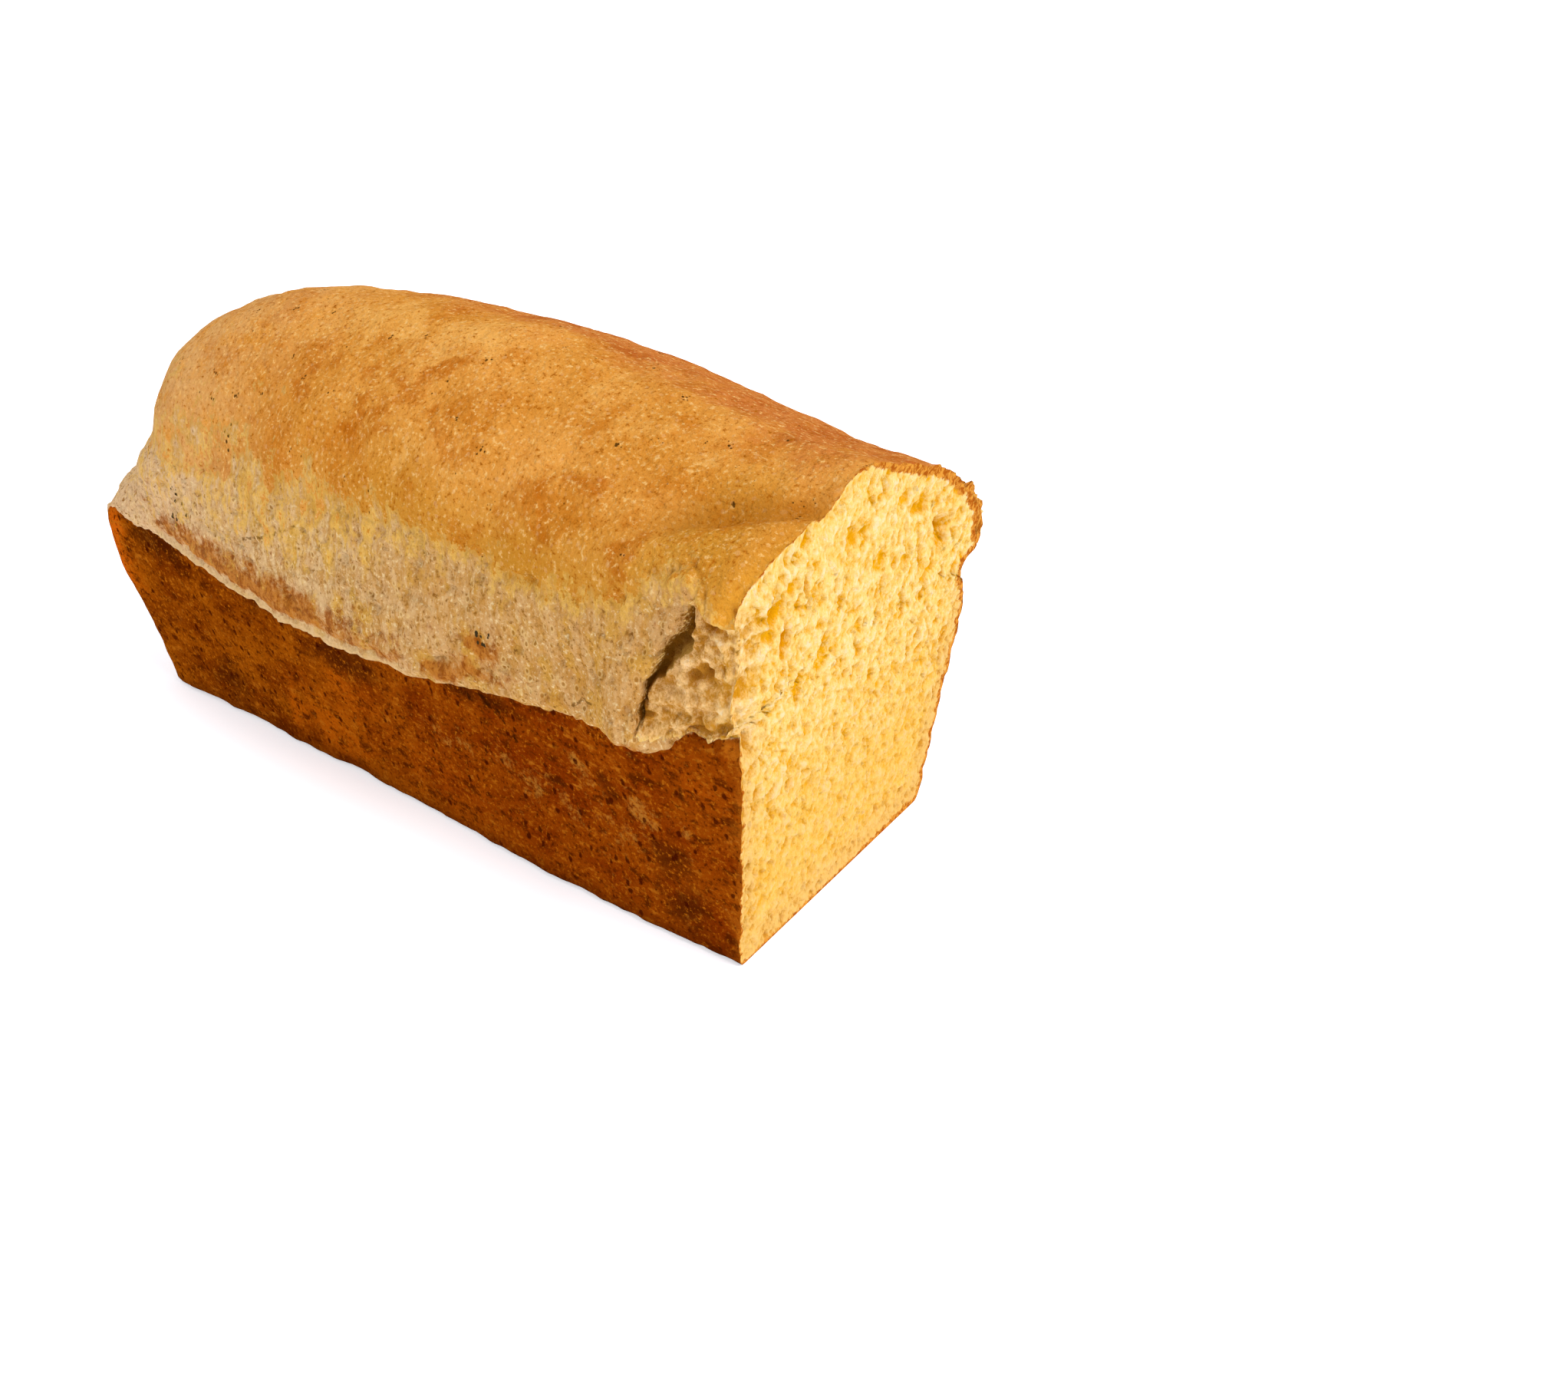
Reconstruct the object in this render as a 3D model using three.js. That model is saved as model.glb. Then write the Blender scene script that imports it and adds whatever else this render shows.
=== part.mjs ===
// A sweet bread loaf baked in a tin and cut at one end, as one closed solid.
// Millimetres, +Z up. +X points to the cut end, and -Y is the side that burst open in the oven.
import * as THREE from "three";

// Sizes left by the tin
const BASE_WIDTH = 85;
const BASE_LENGTH = 243; // what is left of the loaf, along its base
const RIM_HEIGHT = 62; // the tin's rim, where the brown walls end
const FLARE = 7.5; // how far the walls lean out at the rim
const BASE_EDGE = 2; // rounding between a wall and the base
const BASE_CORNER = 11; // plan radius of the far corners at the base
const RIM_CORNER = 15; // the same at the rim
const SHOULDER_CORNER = 44; // the same where the dome begins

// The cut's plane leans out towards the top and is a little out of square
const CUT_LEAN = 0.113;
const CUT_SKEW = -0.068;

// The dome: its crest line and where it meets the sides
const CREST = { height: 129, y: -10, dropToCut: 16, dropToFarEnd: 4 };
const FAR_FALL = 68; // the dome falls to the far end over this length
const BURST_SHOULDER = { out: 53, z: 90, zAtCut: 96 };
const SPLIT_SHOULDER = { out: 51, z: 84, zAtCut: 79 };
const END_SHOULDER = { inset: 21.5, z: 91 };
const ROUNDNESS = { middle: 1.7, cut: 1.0 }; // exponent of the dome's cross-section

// The dough that swelled over the rim on the burst side
const LIP = { bulge: 8.5, bulgeAtFarEnd: 1.5, bulgeAtCut: 3, sag: 11.5, sagAtCut: 6.5, height: 7 };
const LOBE = { x: 101, width: 8, bulge: 5 };

// The split under the crust on the far side, and the ledge under it on the far end
const SPLIT = { depth: 4, overhang: 4, floor: 65, ceiling: 73.5 };
const LEDGE = { bulge: 1.5, rise: 13, depth: 18 };

// The tear beside the cut runs from its foot at the rim to its head under the crust
const TEAR = { foot: { x: 105.5, z: 62 }, head: { x: 119.5, z: 95 }, width: 3.8, depth: 5.5 };
const TORN = { depth: 3.6, lumps: 0.8, lumpSize: 14 };
const FOLD = { from: { x: 96, y: -47 }, to: { x: 134, y: -27 }, width: 4.5, depth: 2.6 };

// The wall on the burst side spreads a little at its foot
const FOOT_SPREAD = { x: 72, length: 45, out: 2.5, height: 30 };

// Holes in the cut face: place across and up, half sizes and depth
const HOLES = [
  { y: 32, z: 85, halfY: 5, halfZ: 4, depth: 6 },
  { y: -35, z: 83, halfY: 3.6, halfZ: 5.5, depth: 3.2 },
  { y: 18, z: 96, halfY: 4.5, halfZ: 3, depth: 2.8 },
  { y: -13, z: 99, halfY: 3.6, halfZ: 4.5, depth: 2.4 },
  { y: 2, z: 88, halfY: 4, halfZ: 4, depth: 2 },
  { y: -20, z: 72, halfY: 3.6, halfZ: 5, depth: 1.8 },
];
const CRUMB = { relief: 0.5, size: 15 };

// Unevenness of the crust
const DOME_WAVES = [
  { height: 1.4, length: 62, seed: 1 },
  { height: 0.45, length: 22, seed: 3 },
];
const WALL_WAVES = { height: 0.4, length: 34, seed: 7 };

// How finely the surface is divided
const ROWS = { edge: 3, wall: 7, lip: 7, band: 10 };
const SIDE_COLUMNS = { nearCut: 20, rest: 20, corner: 4 };
const END_COLUMNS = { straight: 22, corner: 4 };
const NEAR_CUT = 50; // the stretch beside the cut with closer columns
const END_ROWS = 16; // rows of the dome that bend round the far end

const { lerp, clamp } = THREE.MathUtils;
const HALF_WIDTH = BASE_WIDTH / 2;
const HALF_LENGTH = BASE_LENGTH / 2;

const cutX = (y, z) => HALF_LENGTH + CUT_LEAN * z + CUT_SKEW * (y + HALF_WIDTH);
const wallOut = (half, z) => half + (FLARE * z) / RIM_HEIGHT;
const bell = (x, centre, width) => Math.exp(-(((x - centre) / width) ** 2));

function ramp(x, from, to) {
  const t = clamp((x - from) / (to - from), 0, 1);
  return t * t * (3 - 2 * t);
}

// Crossing waves of about one length, as uneven as dough and the same on each run
function waves(p, length, seed) {
  const count = 6;
  let sum = 0;
  for (let i = 1; i <= count; i++) {
    const turn = 2.4 * i + seed;
    const along = p.x * Math.cos(turn) + p.y * Math.sin(turn) + p.z * Math.sin(1.7 * turn + 1);
    sum += Math.sin((2 * Math.PI * along) / (length * (0.6 + 0.15 * i)) + 3.1 * turn);
  }
  return sum / count;
}

// A smooth curve through [out, z] points, at t from 0 to 1
function through(knots, t) {
  const last = knots.length - 1;
  const i = Math.min(Math.floor(t * last), last - 1);
  const s = t * last - i;
  const knot = (k) => knots[clamp(k, 0, last)];
  return [0, 1].map((axis) => {
    const [a, b, c, d] = [i - 1, i, i + 1, i + 2].map((k) => knot(k)[axis]);
    const bend = 2 * a - 5 * b + 4 * c - d + s * (3 * (b - c) + d - a);
    return b + 0.5 * s * (c - a + s * bend);
  });
}

function footSpread(x, z) {
  const along = bell(x, FOOT_SPREAD.x, FOOT_SPREAD.length);
  return FOOT_SPREAD.out * along * (1 - ramp(z, 0, FOOT_SPREAD.height));
}

// Outlines above the wall, as [out, z] knots of the lip and of the band above it
function burstOutline(x) {
  const wall = wallOut(HALF_WIDTH, RIM_HEIGHT);
  const swell = ramp(x, -115, -15) * (1 - ramp(x, 25, 85));
  const lobe = bell(x, LOBE.x, LOBE.width);
  const torn = ramp(x, 106, 118);
  const ends = lerp(LIP.bulgeAtFarEnd, LIP.bulgeAtCut, ramp(x, -90, 60));
  const bulge = lerp(ends, LIP.bulge, swell) + LOBE.bulge * lobe * (1 - torn);
  const sag = lerp(LIP.sag, LIP.sagAtCut, ramp(x, 10, 90)) * ramp(x, -135, 5);
  const foot = RIM_HEIGHT + 2 - sag * (1 - torn);
  const nose = [wall + bulge, foot + LIP.height];
  const shoulder = [BURST_SHOULDER.out, lerp(BURST_SHOULDER.z, BURST_SHOULDER.zAtCut, ramp(x, 60, 130))];
  const climb = shoulder[1] - nose[1];
  return {
    lip: [
      [wallOut(HALF_WIDTH, foot) - 0.5, foot],
      [wall + 0.5 * bulge, foot - 0.5],
      [wall + 0.92 * bulge, foot + 0.3 * LIP.height],
      nose,
    ],
    band: [
      nose,
      [lerp(nose[0], shoulder[0] + 1.5, 0.25), nose[1] + 0.33 * climb],
      [lerp(nose[0], shoulder[0] + 1.5, 0.7), nose[1] + 0.66 * climb],
      shoulder,
    ],
  };
}

function splitOutline(x) {
  const wall = wallOut(HALF_WIDTH, RIM_HEIGHT);
  const depth = SPLIT.depth * (1 + 0.5 * waves({ x, y: 0, z: 0 }, 70, 2));
  const brow = wall + SPLIT.overhang;
  return {
    lip: [
      [wall - 0.2, RIM_HEIGHT],
      [wall - 0.8 * depth, SPLIT.floor + 1],
      [wall - depth, SPLIT.ceiling - 2],
      [brow - 2, SPLIT.ceiling],
    ],
    band: [
      [brow - 2, SPLIT.ceiling],
      [brow, SPLIT.ceiling + 2],
      [brow - 0.5, SPLIT.ceiling + 6],
      [SPLIT_SHOULDER.out, lerp(SPLIT_SHOULDER.z, SPLIT_SHOULDER.zAtCut, ramp(x, 40, 120))],
    ],
  };
}

function endOutline() {
  const wall = wallOut(HALF_LENGTH, RIM_HEIGHT);
  const top = RIM_HEIGHT + LEDGE.rise;
  const shoulder = wall - END_SHOULDER.inset;
  return {
    lip: [
      [wall + LEDGE.bulge, RIM_HEIGHT - 12],
      [wall - LEDGE.bulge, RIM_HEIGHT - 2],
      [wall - 0.35 * LEDGE.depth, top - 5],
      [wall - 0.8 * LEDGE.depth, top],
    ],
    band: [
      [wall - 0.8 * LEDGE.depth, top],
      [wall - LEDGE.depth - 1, top + 2],
      [wall - LEDGE.depth, top + 8],
      [shoulder, END_SHOULDER.z],
    ],
  };
}

// A wall's [out, z] in one row: the rounded edge, the leaning wall, then the outline above it
function outlinePoint({ zone, s }, half, outline) {
  if (zone === "edge") {
    const turn = (s * Math.PI) / 2;
    return [half - BASE_EDGE * (1 - Math.sin(turn)), BASE_EDGE * (1 - Math.cos(turn))];
  }
  if (zone === "wall") {
    const z = lerp(BASE_EDGE, outline.lip[0][1], s);
    return [lerp(wallOut(half, z), outline.lip[0][0], s ** 4), z];
  }
  return through(outline[zone], s);
}

function makeRows() {
  const rows = [];
  for (const [zone, count] of Object.entries(ROWS)) {
    for (let i = 0; i < count; i++) rows.push({ zone, s: i / count });
  }
  rows.push({ zone: "band", s: 1 });
  return rows;
}

// Shares of the way from the cut to the far corner, closer together near the cut
function sideShares() {
  const near = NEAR_CUT / BASE_LENGTH;
  const { nearCut, rest } = SIDE_COLUMNS;
  const shares = [];
  for (let i = 0; i < nearCut; i++) shares.push((near * i) / nearCut);
  for (let i = 0; i <= rest; i++) shares.push(lerp(near, 1, i / rest));
  return shares;
}

function cornerRadius(z) {
  const toRim = lerp(BASE_CORNER, RIM_CORNER, clamp(z / RIM_HEIGHT, 0, 1));
  return lerp(toRim, SHOULDER_CORNER, ramp(z, RIM_HEIGHT, END_SHOULDER.z));
}

const burstSide = (row) => (x) => {
  const [out, z] = outlinePoint(row, HALF_WIDTH, burstOutline(x));
  return new THREE.Vector3(x, -out - footSpread(x, z), z);
};

const splitSide = (row) => (x) => {
  const [out, z] = outlinePoint(row, HALF_WIDTH, splitOutline(x));
  return new THREE.Vector3(x, out, z);
};

// A quarter turn from the end of a long side to the far wall
function corner(start, radius, endZ) {
  const steps = SIDE_COLUMNS.corner + END_COLUMNS.corner;
  const round = [];
  for (let i = 1; i <= steps; i++) {
    const turn = (i / steps) * (Math.PI / 2);
    const x = start.x - radius * Math.sin(turn);
    const y = start.y - Math.sign(start.y) * radius * (1 - Math.cos(turn));
    round.push(new THREE.Vector3(x, y, lerp(start.z, endZ, ramp(i, 0, steps))));
  }
  return round;
}

// One row along a long side, from the cut to the far wall
function sideRow(at, [end, endZ]) {
  const radius = cornerRadius(0.5 * (at(-HALF_LENGTH).z + endZ));
  const start = at(-end + radius);
  const { y, z } = at(HALF_LENGTH);
  const straight = sideShares().map((share) => at(lerp(cutX(y, z), start.x, share)));
  return [...straight, ...corner(start, radius, endZ)];
}

// One row of the walls: from the cut along the burst side, round the far end, back to the cut
function wallRow(row) {
  const end = outlinePoint(row, HALF_LENGTH, endOutline());
  const burst = sideRow(burstSide(row), end);
  const split = sideRow(splitSide(row), end).reverse();
  const [from, to] = [burst[burst.length - 1], split[0]];
  const between = [];
  for (let i = 1; i < END_COLUMNS.straight; i++) {
    between.push(from.clone().lerp(to, i / END_COLUMNS.straight));
  }
  return [...burst, ...between, ...split];
}

// How high the dome stands between its edge (1) and its crest (0)
const domeRise = (share, exponent) => Math.sqrt(Math.max(0, 1 - share ** exponent));

function crestHeight(x) {
  const { height, dropToCut, dropToFarEnd } = CREST;
  return height - dropToCut * ramp(x, -5, 150) - dropToFarEnd * ramp(-x, 30, 110);
}

// Raises a point of the sheet spanned between the shoulders onto the dome
function raise(p, { burstY, splitY, endX }) {
  const reach = p.y < CREST.y ? CREST.y - burstY : splitY - CREST.y;
  const across = clamp(Math.abs(p.y - CREST.y) / reach, 0, 1);
  const fallStart = endX + FAR_FALL;
  const along = clamp((fallStart - p.x) / FAR_FALL, 0, 1);
  const exponent = lerp(ROUNDNESS.middle, ROUNDNESS.cut, ramp(p.x, 40, 125));
  const rise = domeRise(across, exponent) * domeRise(along, 2.2);
  const z = lerp(p.z, crestHeight(p.x), rise);
  return new THREE.Vector3(p.x, p.y, z);
}

// Spans a sheet between four edges that share their corners; rows run along the left and right edges
function span(first, last, left, right) {
  const [rows, columns] = [left.length - 1, first.length - 1];
  return left.map((_, r) =>
    first.map((__, c) => {
      const [v, u] = [r / rows, c / columns];
      const sheet = first[c].clone().lerp(last[c], v);
      sheet.add(left[r].clone().lerp(right[r], u));
      const corners = first[0].clone().lerp(first[columns], u);
      return sheet.sub(corners.lerp(last[0].clone().lerp(last[columns], u), v));
    }),
  );
}

// Steps along a long side to the middle of its corner, and from there to the other corner's middle
const LONG = SIDE_COLUMNS.nearCut + SIDE_COLUMNS.rest + SIDE_COLUMNS.corner;
const ACROSS = END_COLUMNS.straight + 2 * END_COLUMNS.corner;

// The dome's points, in rows that run across the loaf, from the cut to the far end
function domeRows(shoulder) {
  const burst = shoulder.slice(0, LONG + 1);
  const end = shoulder.slice(LONG, LONG + ACROSS + 1);
  const split = shoulder.slice(LONG + ACROSS).reverse();
  // Closer together near both edges, where the dome is steep
  const shareAcross = (c) => lerp(c / ACROSS, 0.5 - 0.5 * Math.cos((Math.PI * c) / ACROSS), 0.75);
  const across = (r, c) => burst[r].clone().lerp(split[r], shareAcross(c));
  return burst.map((_, r) => {
    const pull = clamp((r - LONG + END_ROWS) / END_ROWS, 0, 1) ** 2;
    return end.map((corner, c) => {
      const p = across(r, c);
      p.addScaledVector(corner.clone().sub(across(LONG, c)), pull);
      const raised = raise(p, { burstY: burst[r].y, splitY: split[r].y, endX: corner.x });
      raised.x += CUT_LEAN * (raised.z - p.z) * (1 - r / LONG);
      return raised;
    });
  });
}

// Depth of the tear and of the torn crumb between it and the cut
function tornDepth(p) {
  const { foot, head } = TEAR;
  const share = (p.z - foot.z) / (head.z - foot.z);
  const line = lerp(foot.x, head.x, Math.max(0, share) ** 1.8);
  const open = ramp(share, -0.05, 0.15) * (1 - ramp(share, 0.85, 1.05));
  const tear = TEAR.depth * open * bell(p.x, line, TEAR.width);
  const lumps = TORN.lumps * waves(p, TORN.lumpSize, 5);
  const within = ramp(share, 0.04, 0.16) * (1 - ramp(share, 0.85, 1)) * ramp(p.x, line - 2, line + 3);
  return tear + within * (TORN.depth * (1 - ramp(p.x, 122, 136)) - lumps);
}

function foldDepth(p) {
  const { from, to } = FOLD;
  const share = (p.x - from.x) / (to.x - from.x);
  const within = ramp(share, -0.1, 0.5);
  return FOLD.depth * within * bell(p.y, lerp(from.y, to.y, share), FOLD.width);
}

// How far the crust at a point stands out from its smooth form
function relief(p) {
  const uneven = ({ height, length, seed }) => height * waves(p, length, seed);
  const onDome = ramp(p.z, 66, 84);
  const onWall = ramp(p.z, 0, 16) * (1 - onDome);
  let out = onWall * uneven(WALL_WAVES);
  for (const wave of DOME_WAVES) out += onDome * uneven(wave);
  if (p.y < -30) out -= tornDepth(p);
  if (p.z > 88) out -= foldDepth(p);
  return out;
}

// Depth of the cut face below its plane
function crumbDepth(p) {
  let depth = CRUMB.relief * (1 + waves({ x: 0, y: 1.5 * p.y, z: 0.7 * p.z }, CRUMB.size, 9));
  for (const hole of HOLES) {
    depth += hole.depth * bell(p.y, hole.y, hole.halfY) * bell(p.z, hole.z, hole.halfZ);
  }
  return depth;
}

// Grids of points joined into triangles; a point that is in two grids is one corner of both
class Skin {
  points = [];
  triangles = [];
  ids = new Map();

  id(point) {
    if (!this.ids.has(point)) this.ids.set(point, this.points.push(point) - 1);
    return this.ids.get(point);
  }

  triangle(a, b, c) {
    this.triangles.push(this.id(a), this.id(b), this.id(c));
  }

  // Each quad is split along its shorter diagonal
  grid(rows) {
    for (let r = 0; r + 1 < rows.length; r++) {
      for (let c = 0; c + 1 < rows[r].length; c++) {
        const [a, b, d, e] = [rows[r][c], rows[r][c + 1], rows[r + 1][c + 1], rows[r + 1][c]];
        const direct = a.distanceTo(d) < b.distanceTo(e);
        this.triangle(a, b, direct ? d : e);
        this.triangle(direct ? a : b, d, e);
      }
    }
  }

  geometry() {
    const made = new THREE.BufferGeometry();
    made.setAttribute("position", new THREE.Float32BufferAttribute(this.points.length * 3, 3));
    this.points.forEach((point, i) => made.attributes.position.setXYZ(i, point.x, point.y, point.z));
    made.setIndex(this.triangles);
    made.computeVertexNormals();
    return made;
  }
}

// Moves each point of the crust out along its normal, then keeps the base flat and the cut true
function addRelief(skin, base, rim) {
  const normals = skin.geometry().attributes.normal;
  skin.points.forEach((point, i) => {
    const normal = new THREE.Vector3().fromBufferAttribute(normals, i);
    point.addScaledVector(normal, relief(point));
  });
  for (const point of base) point.z = 0;
  for (const point of rim) point.x = cutX(point.y, point.z);
}

function cutFace(base, walls, dome) {
  const across = dome[0].map((_, c) => base[0].clone().lerp(base[base.length - 1], c / ACROSS));
  across[0] = base[0];
  across[ACROSS] = base[base.length - 1];
  const left = walls.map((row) => row[0]);
  const right = walls.map((row) => row[row.length - 1]);
  const rows = span(across, dome[0], left, right);
  rows.forEach((row, r) => {
    row.forEach((p, c) => {
      const inside = r > 0 && r < rows.length - 1 && c > 0 && c < ACROSS;
      if (inside) p.x = cutX(p.y, p.z) - crumbDepth(p);
    });
    row[0] = left[r];
    row[ACROSS] = right[r];
  });
  rows[0] = across;
  rows[rows.length - 1] = dome[0];
  return rows;
}

function loafGeometry() {
  const walls = makeRows().map(wallRow);
  const shoulder = walls[walls.length - 1];
  const base = walls[0];
  const dome = domeRows(shoulder);
  dome.forEach((row, r) => {
    row[0] = shoulder[r];
    row[ACROSS] = shoulder[2 * LONG + ACROSS - r];
  });
  dome[LONG] = shoulder.slice(LONG, LONG + ACROSS + 1);

  const skin = new Skin();
  skin.grid(walls.toReversed());
  skin.grid(dome.map((row) => row.toReversed()).toReversed());
  const rim = [...walls.flatMap((row) => [row[0], row[row.length - 1]]), ...dome[0]];
  addRelief(skin, base, rim);

  const face = cutFace(base, walls, dome);
  skin.grid(face);
  const floor = [...base, ...face[0].slice(1, -1).toReversed()];
  for (const corners of THREE.ShapeUtils.triangulateShape(floor, [])) {
    skin.triangle(...corners.map((i) => floor[i]).reverse());
  }
  return skin.geometry();
}

const geometry = loafGeometry();
geometry.computeBoundingBox();
const centre = geometry.boundingBox.getCenter(new THREE.Vector3());
geometry.translate(-centre.x, -centre.y, 0);

const bread = new THREE.MeshStandardMaterial({ color: 0xc98a3c, roughness: 0.75, metalness: 0 });
const loaf = new THREE.Mesh(geometry, bread);
loaf.name = "loaf";

const group = new THREE.Group();
group.add(loaf);
export default group;
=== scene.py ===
"""The looks of a sweet bread loaf that was baked in a tin and cut at one end.

One closed mesh repeats the form of the CAD solid with a finer surface, and three procedural materials
dress it. Lengths are in millimetres until the mesh is made. +X points to the cut end, and -Y is the side
that burst open in the oven.
"""

import itertools
import math

import bpy
import numpy as np
from mathutils import Matrix, Vector

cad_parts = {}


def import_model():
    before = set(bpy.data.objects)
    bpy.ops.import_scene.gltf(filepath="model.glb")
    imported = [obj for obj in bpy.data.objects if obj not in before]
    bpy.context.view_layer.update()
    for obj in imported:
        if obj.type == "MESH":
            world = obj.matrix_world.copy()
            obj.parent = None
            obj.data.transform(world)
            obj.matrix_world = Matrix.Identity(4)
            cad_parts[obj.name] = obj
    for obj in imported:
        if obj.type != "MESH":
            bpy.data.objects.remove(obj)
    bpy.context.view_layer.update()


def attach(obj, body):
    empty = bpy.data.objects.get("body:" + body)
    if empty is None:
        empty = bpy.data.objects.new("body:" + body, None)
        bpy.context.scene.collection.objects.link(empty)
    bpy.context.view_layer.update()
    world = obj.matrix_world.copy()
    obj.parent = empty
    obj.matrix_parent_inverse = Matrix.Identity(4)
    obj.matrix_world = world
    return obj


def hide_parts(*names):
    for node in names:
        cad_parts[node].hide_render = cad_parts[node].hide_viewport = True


MM = 0.001

# The form left by the tin, as in the CAD source
BASE_WIDTH = 85
BASE_LENGTH = 243
RIM_HEIGHT = 62
FLARE = 7.5
BASE_EDGE = 2
BASE_CORNER = 11
RIM_CORNER = 15
SHOULDER_CORNER = 44
CUT_LEAN = 0.113
CUT_SKEW = -0.068
CENTRE = (1.3557, -2.0331)  # the solid's centre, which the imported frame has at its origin

# The dome
CREST_HEIGHT = 129
CREST_Y = -10
CREST_DROP_TO_CUT = 16
CREST_DROP_TO_FAR_END = 4
FAR_FALL = 68
BURST_SHOULDER = {"out": 53, "z": 90, "z_at_cut": 96}
SPLIT_SHOULDER = {"out": 51, "z": 84, "z_at_cut": 79}
END_SHOULDER = {"inset": 21.5, "z": 91}
ROUNDNESS_MIDDLE = 1.7
ROUNDNESS_CUT = 1.0

# The swollen lip, the split under the crust and the ledge
LIP = {"bulge": 8.5, "at_far_end": 1.5, "at_cut": 3, "sag": 11.5, "sag_at_cut": 6.5, "height": 7}
LOBE = {"x": 101, "width": 8, "bulge": 5}
SPLIT = {"depth": 4, "overhang": 4, "floor": 65, "ceiling": 73.5}
LEDGE = {"bulge": 1.5, "rise": 13, "depth": 18}

# The tear beside the cut
TEAR_FOOT = (105.5, 62)
TEAR_HEAD = (119.5, 95)
TEAR_DEPTH = 4
TORN_DEPTH = 2.6
FOLD_FROM = (96, -47)
FOLD_TO = (134, -27)
FOLD_WIDTH = {"inside": 7, "outside": 3.4}
FOLD_DEPTH = 2.7
EDGE_ROUNDING = 3.4
ROUNDED_WIDTH = 5
FOOT_SPREAD = {"x": 72, "length": 45, "out": 2.5, "height": 30}
GOLD_EDGE = {"burst": 89, "far_end": 93}  # height of the golden crust's lower edge
MARKED_BELOW_Y = -20  # the burst side's marks and the cut's soft edge lie below this y
LIP_BELOW_Y = -30  # the lip, its stain and the tear lie below this y

# Larger holes in the cut face: across, up, half width, half height, depth
HOLES = [
    (33, 85, 4, 3.4, 6),
    (29, 88, 3, 2, 3),
    (-36, 83, 2.2, 4.5, 3),
    (-40.5, 91.5, 3, 2.2, 2.4),
    (18, 96, 3.5, 2.4, 2.4),
    (-13, 99, 3, 3.6, 2.2),
    (2, 88, 3, 3.4, 2),
    (-20, 72, 2.6, 4.4, 1.6),
]

# Pits in the torn crumb: x, z, half width, half height, depth
TEAR_PITS = [
    (123.6, 91, 2.4, 1.1, 2.4),
    (121.5, 79, 3.4, 1.5, 2.6),
    (104.3, 71, 1.1, 2.2, 2.4),
    (107, 66.5, 2.6, 1.4, 2.2),
    (119.5, 66, 5, 0.8, 1.6),
]

# Marks on the burst side: x, z, half width, half height and strength
STAINS = [
    (44, 58.5, 6, 2.6, 1.6),
    (53, 61, 9, 3, 1.1),
    (57, 68, 7, 3, 1.3),
    (72, 62, 12, 2.4, 0.4),
    (103, 57, 6, 2, 0.7),
]
SIDE_MARKS = {
    "scorch": [
        (-64, 77, 4, 6, 1.0),
        (-66, 70, 5, 4, 0.8),
        (-37, 98, 5, 4, 0.9),
        (-55, 93, 3, 2.5, 0.6),
        (57, 69.5, 5, 2.5, 1.0),
        (50, 71, 9, 3, 0.5),
    ],
    "patch": [
        (27, 32, 3.4, 3, 0.9),
        (34, 32, 3.6, 3, 0.9),
        (50, 32, 4, 3.4, 0.8),
        (60, 27, 8, 5, 0.7),
        (78, 40, 3.8, 4.4, 1.0),
        (73, 26, 3.6, 3, 0.7),
        (97, 35.5, 4.8, 4.2, 1.0),
        (89, 24.5, 8, 5, 0.6),
        (110, 35, 3, 2.4, 0.8),
    ],
    # Dark patches on the wall: the wide ones just under the lip are painted shade under its overhang,
    # the rest are darker crust
    "dark": [
        (-92, 57, 17, 8, 1.2),
        (-46, 49, 14, 4, 0.8),
        (-76, 12, 16, 12, 0.8),
        (62, 25, 4, 2.4, 0.9),
        (68, 33, 7, 3.4, 0.9),
        (86, 38, 6, 6, 0.8),
        (104, 25, 9, 8, 0.9),
        (111, 44, 2.6, 3, 1.0),
        (40, 50, 34, 4, 0.9),
        (-10, 42, 24, 7, 1.0),
        (107, 12, 12, 8, 0.9),
    ],
    # Orange patches on the wall; the strongest, at the far corner, is a painted rim light
    "glow": [
        (-43, 14, 5, 12, 0.9),
        (-26, 14, 14, 14, 0.9),
        (-12, 28, 16, 12, 0.8),
        (-117, 52, 6, 17, 2.3),
        (20, 16, 22, 12, 0.5),
        (118, 50, 10, 8, 0.6),
    ],
}
CRACKS = [
    [(40, 51), (43, 47)],
    [(45.5, 50), (50, 48), (56, 44), (57.3, 40)],
    [(-31, 74), (-20, 77), (-7, 82.5)],
    [(84, 61), (88, 64), (93, 63.5)],
]

# Marks on the dome: x, y, half length, half width and strength
DOME_MARKS = {
    "blotch": [
        (-15, -40, 9, 8, 0.8),
        (14, -36, 9, 6, 0.9),
        (27, -33, 8, 8, 0.9),
        (40, -42.5, 4, 3, 1.0),
        (6, -45.5, 4, 3, 1.0),
        (-31, -41, 9, 7, 0.7),
        (101, -46, 10, 4, 0.8),
        (74, -45, 12, 4, 0.8),
        (-60, -18, 14, 12, 0.6),
    ],
    # Lighter patches of crust; those along the dome's top are partly a painted highlight
    "bright": [
        (-2, -20, 16, 11, 1.3),
        (60, -19, 12, 7, 0.8),
        (78, -27, 10, 6, 0.8),
        (101, -22, 8, 6, 0.6),
        (25, -20, 13, 9, 1.2),
        (24, -49, 8, 3, 0.9),
        (47, -49, 5, 3, 0.6),
    ],
}

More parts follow.
